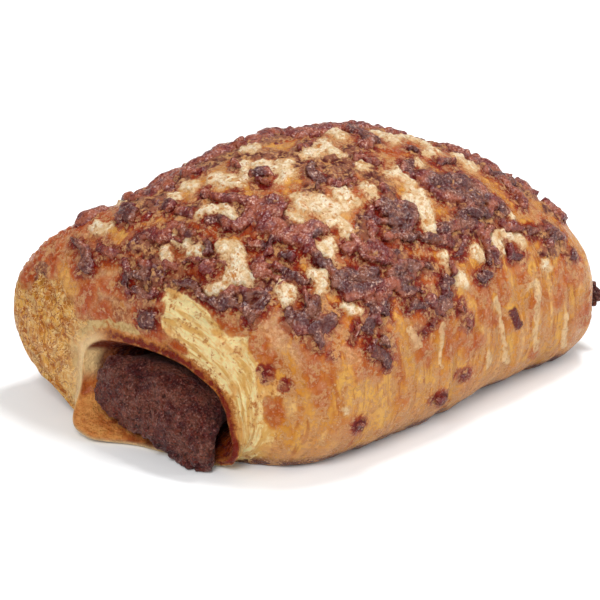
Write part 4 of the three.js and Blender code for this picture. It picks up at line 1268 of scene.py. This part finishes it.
def dough_material():
    s = Shader("baked dough")
    wrap = s.attribute("wrap", "Vector")
    pale, stain, film, glaze = map(s.attribute, ("pale", "stain", "film", "glaze"))
    gold, drop, bared, cut = map(s.attribute, ("gold", "drop", "bared", "cut"))
    pink_sheen, ridge = map(s.attribute, ("pink_sheen", "ridge"))
    left, lip, rim, inner, sheet = map(s.attribute, ("left", "lip", "rim", "inner", "sheet"))
    top, bead, crease, far = map(s.attribute, ("top", "bead", "crease", "far"))
    height = s.node("ShaderNodeSeparateXYZ")
    s.put(s.where, height.inputs[0])
    height = height.outputs["Z"]

    streaks = s.noise(3.4, 4.0, s.scaled(wrap, (1.0, 0.14, 0.3)))
    fine_streaks = s.noise(1.2, 3.0, s.scaled(wrap, (1.0, 0.12, 0.3)))
    blotches = s.noise(7.0, 5.0, roughness=0.6)
    mottle = s.noise(2.4, 5.0, roughness=0.7)
    tiny = s.noise(1.0, 4.0, roughness=0.7)
    grain = s.noise(0.5, 3.0, roughness=0.7)
    ragged = s.math("ADD", s.math("MULTIPLY_ADD", tiny, 2.0, -1.0), s.math("MULTIPLY_ADD", mottle, 3.0, -1.5))

    wall = s.blend(shown(228, 174, 94), shown(208, 136, 60), s.step(streaks, 0.38, 0.62))
    wall = s.blend(wall, shown(168, 82, 36), s.math("MULTIPLY", s.step(fine_streaks, 0.52, 0.64), 0.7))
    wall = s.blend(wall, shown(222, 176, 116), s.math("MULTIPLY", s.step(mottle, 0.52, 0.66), 0.7))
    wall = s.blend(wall, shown(184, 112, 60), s.math("MULTIPLY", s.step(tiny, 0.54, 0.64), 0.5))
    wall = s.blend(wall, shown(180, 88, 46), s.math("MULTIPLY", s.step(s.noise(9.0, 5.0), 0.5, 0.64), 0.65))
    wall = s.blend(wall, shown(246, 204, 134), s.math("MULTIPLY", s.step(streaks, 0.57, 0.7), 0.8))
    low = s.math("MULTIPLY", s.step(height, 0.016, 0.003), s.step(blotches, 0.42, 0.58))
    wall = s.blend(wall, shown(218, 160, 108), s.math("MULTIPLY", low, 0.8))
    wall = s.blend(wall, shown(250, 212, 150), s.math("MULTIPLY", s.step(tiny, 0.58, 0.68), 0.6))
    # Painted shade: a dark band over the bottom few millimetres stands partly for the crust's browned bottom edge and
    # partly for the contact shadow where the dough meets the floor
    wall = s.blend(wall, shown(98, 42, 24), s.math("MULTIPLY", s.step(height, 0.0036, 0.0014), 0.9))
    crown = s.blend(shown(218, 164, 112), shown(166, 90, 54), s.step(mottle, 0.38, 0.58))
    crown = s.blend(crown, shown(140, 68, 42), s.math("MULTIPLY", s.step(blotches, 0.46, 0.62), 0.8))
    crown = s.blend(crown, shown(226, 182, 136), s.math("MULTIPLY", s.step(tiny, 0.5, 0.62), 0.55))
    crown = s.blend(crown, shown(126, 58, 36), s.math("MULTIPLY", s.step(tiny, 0.44, 0.34), 0.3))
    colour = s.blend(wall, crown, top)
    golden = s.blend(shown(226, 168, 92), shown(206, 132, 56), s.step(mottle, 0.4, 0.6))
    colour = s.blend(colour, golden, s.math("MULTIPLY", gold, 0.85))
    # Painted sheen: pale pink over the glossy glaze, partly its tint and partly the studio's reflection painted in
    pink_sheen_colour = s.blend(shown(228, 184, 148), shown(190, 122, 88), s.step(tiny, 0.4, 0.58))
    pink_sheen_share = s.step(s.math("ADD", pink_sheen, s.math("MULTIPLY", ragged, 0.6)), 0.1, 0.9)
    colour = s.blend(colour, pink_sheen_colour, s.math("MULTIPLY", pink_sheen_share, 0.6))

    dotted = s.math("MULTIPLY", s.step(s.cells(1.7), 0.34, 0.16), s.step(blotches, 0.44, 0.56))
    colour = s.blend(colour, shown(160, 84, 46), s.math("MULTIPLY", dotted, 0.5))
    spread_glaze = s.math("ADD", glaze, s.math("MULTIPLY", ragged, 0.3))
    colour = s.blend(colour, shown(196, 104, 48), s.math("MULTIPLY", s.step(spread_glaze, 0.1, 1.0), s.value(0.7, 1.0, top)))
    colour = s.blend(colour, shown(160, 60, 26), s.math("MULTIPLY", s.step(spread_glaze, 0.55, 1.3), s.value(0.6, 1.0, top)))
    spread_stain = s.math("ADD", stain, s.math("MULTIPLY", ragged, 0.8))
    colour = s.blend(colour, shown(168, 78, 38), s.step(spread_stain, -0.15, 0.5))
    colour = s.blend(colour, shown(124, 48, 28), s.step(spread_stain, 0.2, 0.85))
    ridged = s.step(s.math("ADD", ridge, s.math("MULTIPLY", ragged, 0.5)), 0.3, 0.9)
    colour = s.blend(colour, shown(240, 206, 158), s.math("MULTIPLY", ridged, 0.85))
    # Painted highlight: the tops of the beads in glaze and stain are lighter, for the highlights on the glossy bubbles
    bead_highlight = s.math("MULTIPLY", s.step(bead, 0.45, 0.85), s.math("MAXIMUM", glaze, stain))
    colour = s.blend(colour, shown(208, 144, 104), s.math("MULTIPLY", bead_highlight, 0.5))
    # Painted shade and light: the filmed crumble is darker in the hollows between its beads and lighter on their tops
    brown = s.blend(shown(98, 48, 36), shown(150, 96, 78), s.step(bead, 0.1, 0.7))
    brown = s.blend(brown, shown(144, 74, 48), s.step(mottle, 0.5, 0.62))
    brown = s.blend(brown, shown(196, 148, 116), s.math("MULTIPLY", s.step(tiny, 0.58, 0.68), 0.6))
    filmed = s.step(s.math("ADD", film, ragged), 0.05, 0.65)
    colour = s.blend(colour, brown, filmed)
    spread_pale = s.math("ADD", pale, s.math("MULTIPLY", ragged, 1.3))
    colour = s.blend(colour, shown(216, 168, 120), s.math("MULTIPLY", s.step(spread_pale, -0.1, 0.6), 0.9))
    colour = s.blend(colour, shown(236, 206, 162), s.step(spread_pale, 0.3, 0.95))
    cream = s.blend(shown(252, 238, 214), shown(234, 204, 164), s.step(grain, 0.5, 0.64))
    cream = s.blend(cream, shown(222, 184, 134), s.math("MULTIPLY", s.step(mottle, 0.52, 0.62), 0.7))
    # Painted shade: the cream darkens where the beads under it are low, in the hollows
    cream = s.blend(cream, shown(206, 160, 106), s.math("MULTIPLY", s.step(bead, 0.4, 0.05), 0.8))
    colour = s.blend(colour, cream, s.step(spread_pale, 0.6, 1.25))
    dropped = s.step(s.math("ADD", drop, s.math("MULTIPLY", ragged, 0.3)), 0.25, 0.8)
    colour = s.blend(colour, shown(106, 54, 46), dropped)

    layers = s.noise(1.2, 3.0, s.scaled(wrap, (0.12, 0.12, 1.0)), roughness=0.6, distortion=0.3)
    crumb = s.blend(shown(254, 228, 168), shown(226, 176, 104), s.step(layers, 0.42, 0.62))
    pores = s.cells(1.3, s.scaled(wrap, (0.8, 0.8, 1.4)))
    pitted = s.math("MULTIPLY", s.step(pores, 0.26, 0.1), s.step(mottle, 0.5, 0.58))
    crumb = s.blend(crumb, shown(186, 128, 72), s.math("MULTIPLY", pitted, 0.3))
    crumb = s.blend(crumb, shown(226, 164, 92), s.math("MULTIPLY", s.step(blotches, 0.48, 0.6), 0.8))
    flaky = s.blend(shown(228, 172, 92), shown(200, 128, 60), s.step(mottle, 0.42, 0.58))
    # Painted light and shade on the near face's flakes: pale lines along the wrinkles' ridges and curls are painted
    # highlights, and darker colour in the wrinkles' dents and along other curls is painted shade
    flaky = s.blend(flaky, shown(234, 200, 142), s.math("MULTIPLY", s.step(crease, 0.16, 0.02), s.step(tiny, 0.4, 0.6)))
    flaky = s.blend(flaky, shown(140, 80, 42), s.math("MULTIPLY", s.step(crease, 0.4, 0.85), 0.5))
    curls = s.math("ABSOLUTE", s.math("SUBTRACT", s.noise(3.2, 4.0, distortion=1.4), 0.5))
    flaky = s.blend(flaky, shown(160, 82, 34), s.math("MULTIPLY", s.step(curls, 0.045, 0.01), 0.9))
    curls = s.math("ABSOLUTE", s.math("SUBTRACT", s.noise(2.6, 3.0, distortion=1.8), 0.47))
    flaky = s.blend(flaky, shown(250, 220, 164), s.math("MULTIPLY", s.step(curls, 0.03, 0.006), 0.8))
    flaky = s.blend(flaky, shown(222, 186, 130), s.math("MULTIPLY", s.step(layers, 0.52, 0.66), 0.6))
    browned = s.math("MAXIMUM", glaze, s.math("MAXIMUM", stain, drop))
    clear = s.math("SUBTRACT", 1.0, s.math("MULTIPLY", browned, 1.4), clamp=True)
    bare = s.math("MULTIPLY", s.math("ADD", cut, ragged), clear)
    colour = s.blend(colour, crumb, s.step(bare, 0.15, 0.6))
    colour = s.blend(colour, flaky, s.step(s.math("MULTIPLY", s.math("ADD", left, ragged), clear), 0.15, 0.65))
    colour = s.blend(colour, s.blend(shown(214, 182, 128), shown(190, 150, 96), s.step(tiny, 0.44, 0.58)),
                     s.step(s.math("ADD", bared, s.math("MULTIPLY", ragged, 0.7)), 0.2, 0.7))
    colour = s.blend(colour, shown(218, 182, 124), s.math("MULTIPLY", far, 0.9))
    glossy = s.math("MAXIMUM", s.math("MAXIMUM", glaze, stain), pink_sheen)
    glint = s.math("MULTIPLY", s.step(s.noise(0.8, 2.0, roughness=0.6), 0.58, 0.68), s.math("SUBTRACT", glossy, dropped, clamp=True))
    colour = s.blend(colour, shown(244, 208, 176), s.math("MULTIPLY", glint, 0.25))
    lined = s.math("ADD", lip, s.math("MULTIPLY", ragged, 0.7))
    colour = s.blend(colour, shown(196, 126, 72), s.step(lined, 0.1, 0.5))
    colour = s.blend(colour, shown(126, 60, 40), s.step(lined, 0.35, 1.0))
    colour = s.blend(colour, shown(246, 212, 160), s.math("MULTIPLY", rim, 0.9))
    flap = s.blend(shown(236, 166, 100), shown(212, 132, 78), s.step(mottle, 0.4, 0.6))
    flap = s.blend(flap, shown(166, 78, 50), s.math("MULTIPLY", s.step(blotches, 0.5, 0.62), 0.8))
    flap = s.blend(flap, shown(240, 202, 146), s.step(height, 0.009, 0.013))
    flap = s.blend(flap, shown(118, 64, 48), s.step(height, 0.0155, 0.0175))
    lining = s.blend(shown(150, 78, 52), shown(104, 52, 38), s.step(mottle, 0.42, 0.58))
    colour = s.blend(colour, s.blend(lining, flap, sheet), inner)

    dull = s.math("MAXIMUM", s.math("MAXIMUM", pale, s.math("MAXIMUM", cut, left)), s.math("MULTIPLY", film, 0.5))
    roughness = s.value(0.24, 0.6, s.math("MULTIPLY", dull, 0.9))
    roughness = s.math("ADD", roughness, s.math("MULTIPLY_ADD", grain, 0.3, -0.15))
    relief = s.math("ADD", s.math("MULTIPLY", tiny, 1.2), s.math("MULTIPLY", fine_streaks, 0.6))
    relief = s.math("ADD", relief, s.math("MULTIPLY", grain, 0.4))
    relief = s.math("ADD", relief, s.math("MULTIPLY", s.math("MULTIPLY", layers, cut), 1.2))
    s.set(
        Base_Color=colour, Roughness=roughness, Normal=s.bump(relief, 1.4, 1.0), Specular_IOR_Level=0.25,
        Coat_Weight=0.06, Coat_Roughness=0.1,
        Subsurface_Weight=0.06, Subsurface_Scale=0.0012,
    )
    s.bsdf.inputs["Subsurface Radius"].default_value = (1.0, 0.5, 0.25)
    return s.material


def crumble_material():
    s = Shader("dark crumble")
    char, rise, bump = map(s.attribute, ("char", "rise", "bump"))
    blotches = s.noise(2.6, 4.0, roughness=0.65)
    grain = s.noise(0.5, 3.0, roughness=0.7)
    brown = s.blend(shown(138, 82, 66), shown(102, 50, 38), s.step(blotches, 0.4, 0.6))
    black = s.blend(shown(118, 78, 66), shown(82, 44, 34), s.step(blotches, 0.38, 0.58))
    colour = s.blend(brown, black, char)
    # Painted shade: the crumble darkens towards the low ground between its pebbles, in the crevices
    colour = s.blend(colour, shown(84, 34, 24), s.math("MULTIPLY", s.step(bump, 0.6, 0.05), 0.8))
    colour = s.blend(colour, shown(126, 56, 38), s.step(rise, 0.4, -0.1))
    # Painted highlights: small pale specks in patches, for the glints on the crumble's glossy grains
    colour = s.blend(colour, shown(214, 176, 156), s.math("MULTIPLY", s.math("MULTIPLY", s.step(grain, 0.55, 0.66), s.step(s.noise(3.2, 2.0), 0.42, 0.58)), 0.6))
    colour = s.blend(colour, shown(70, 36, 32), s.math("MULTIPLY", s.step(grain, 0.44, 0.34), 0.6))
    roughness = s.math("ADD", 0.1, s.math("MULTIPLY", grain, 0.35))
    relief = s.math("ADD", s.noise(1.1, 3.0, roughness=0.6), s.math("MULTIPLY", s.cells(1.0), 0.8))
    s.set(Base_Color=colour, Roughness=roughness, Normal=s.bump(relief, 0.55, 1.0), Specular_IOR_Level=0.5)
    return s.material


def chocolate_material():
    s = Shader("baked chocolate")
    pit = s.attribute("pit")
    blotches = s.noise(4.0, 4.0, roughness=0.65)
    grain = s.noise(0.4, 3.0, roughness=0.7)
    colour = s.blend(shown(140, 86, 72), shown(98, 50, 40), s.step(blotches, 0.38, 0.6))
    red = s.math("MULTIPLY", s.step(s.noise(1.1, 4.0), 0.52, 0.64), 0.6)
    colour = s.blend(colour, shown(136, 64, 48), red)
    # Painted shade: the filling darkens in its pits
    colour = s.blend(colour, shown(60, 28, 26), s.math("MULTIPLY", s.step(pit, 0.25, 0.8), 0.7))
    # Painted highlights: pale specks for the glints on the filling's grains
    colour = s.blend(colour, shown(204, 160, 148), s.math("MULTIPLY", s.step(grain, 0.56, 0.64), 0.5))
    colour = s.blend(colour, shown(48, 20, 16), s.math("MULTIPLY", s.step(grain, 0.45, 0.37), 0.8))
    roughness = s.math("ADD", 0.26, s.math("MULTIPLY", grain, 0.35))
    relief = s.math("ADD", s.noise(0.7, 5.0, roughness=0.75), s.math("MULTIPLY", s.cells(0.8), 0.9))
    s.set(Base_Color=colour, Roughness=roughness, Normal=s.bump(relief, 2.2, 1.0), Specular_IOR_Level=0.5)
    return s.material


def floor_material():
    s = Shader("studio floor")
    tint = s.blend((0.85, 0.86, 0.87, 1.0), (0.87, 0.88, 0.89, 1.0), s.noise(60.0, 2.0))
    s.set(Base_Color=tint, Roughness=0.6, Emission_Color=(1.0, 0.99, 0.98, 1.0), Emission_Strength=0.05)
    return s.material


# The studio

PHOTO_SIDE = 600
SENSOR = 36.0


def make_camera():
    """The photograph's viewpoint, shifted so that the target meets its pixel."""
    data = bpy.data.cameras.new("camera")
    data.sensor_width = SENSOR
    data.lens = FOCAL_PIXELS / PHOTO_SIDE * SENSOR
    data.shift_x = (PHOTO_SIDE / 2 - TARGET_PIXEL[0]) / PHOTO_SIDE
    data.shift_y = (TARGET_PIXEL[1] - PHOTO_SIDE / 2) / PHOTO_SIDE
    data.clip_start = 0.01
    camera = bpy.data.objects.new("camera", data)
    camera.location = Vector((VIEWPOINT - ORIGIN) * MM)
    camera.rotation_mode = "QUATERNION"
    camera.rotation_quaternion = Vector(-VIEW_BACK).to_track_quat("-Z", "Y")
    bpy.context.scene.collection.objects.link(camera)
    bpy.context.scene.camera = camera


def make_light(name, place, size, power, colour=(1.0, 1.0, 1.0)):
    data = bpy.data.lights.new(name, "AREA")
    data.shape = "DISK"
    data.size = size
    data.energy = power
    data.color = colour
    light = bpy.data.objects.new(name, data)
    light.location = place
    light.rotation_mode = "QUATERNION"
    light.rotation_quaternion = (-Vector(place)).to_track_quat("-Z", "Y")
    bpy.context.scene.collection.objects.link(light)


def make_studio():
    scene = bpy.context.scene
    mesh = bpy.data.meshes.new("floor")
    side = 3.0
    mesh.from_pydata([(-side, -side, 0), (side, -side, 0), (side, side, 0), (-side, side, 0)], [], [(0, 1, 2, 3)])
    mesh.materials.append(floor_material())
    floor = bpy.data.objects.new("floor", mesh)
    scene.collection.objects.link(floor)
    world = bpy.data.worlds.new("studio")
    world.use_nodes = True
    background = world.node_tree.nodes["Background"]
    background.inputs["Color"].default_value = (1.0, 0.995, 0.985, 1.0)
    background.inputs["Strength"].default_value = 0.45
    scene.world = world
    make_light("overhead", (0.3, 0.0, 0.9), 0.26, 6.0)
    make_light("camera side", (-0.8, -0.4, 0.75), 0.6, 9.0)
    make_light("right side", (0.6, -0.8, 0.6), 0.7, 5.2)
    scene.view_settings.view_transform = "Standard"


def main():
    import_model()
    dough = Dough()
    make_camera()
    make_studio()
    make_dough(dough, dough_material())
    make_crumble(dough, crumble_material())
    make_filling(chocolate_material())


main()
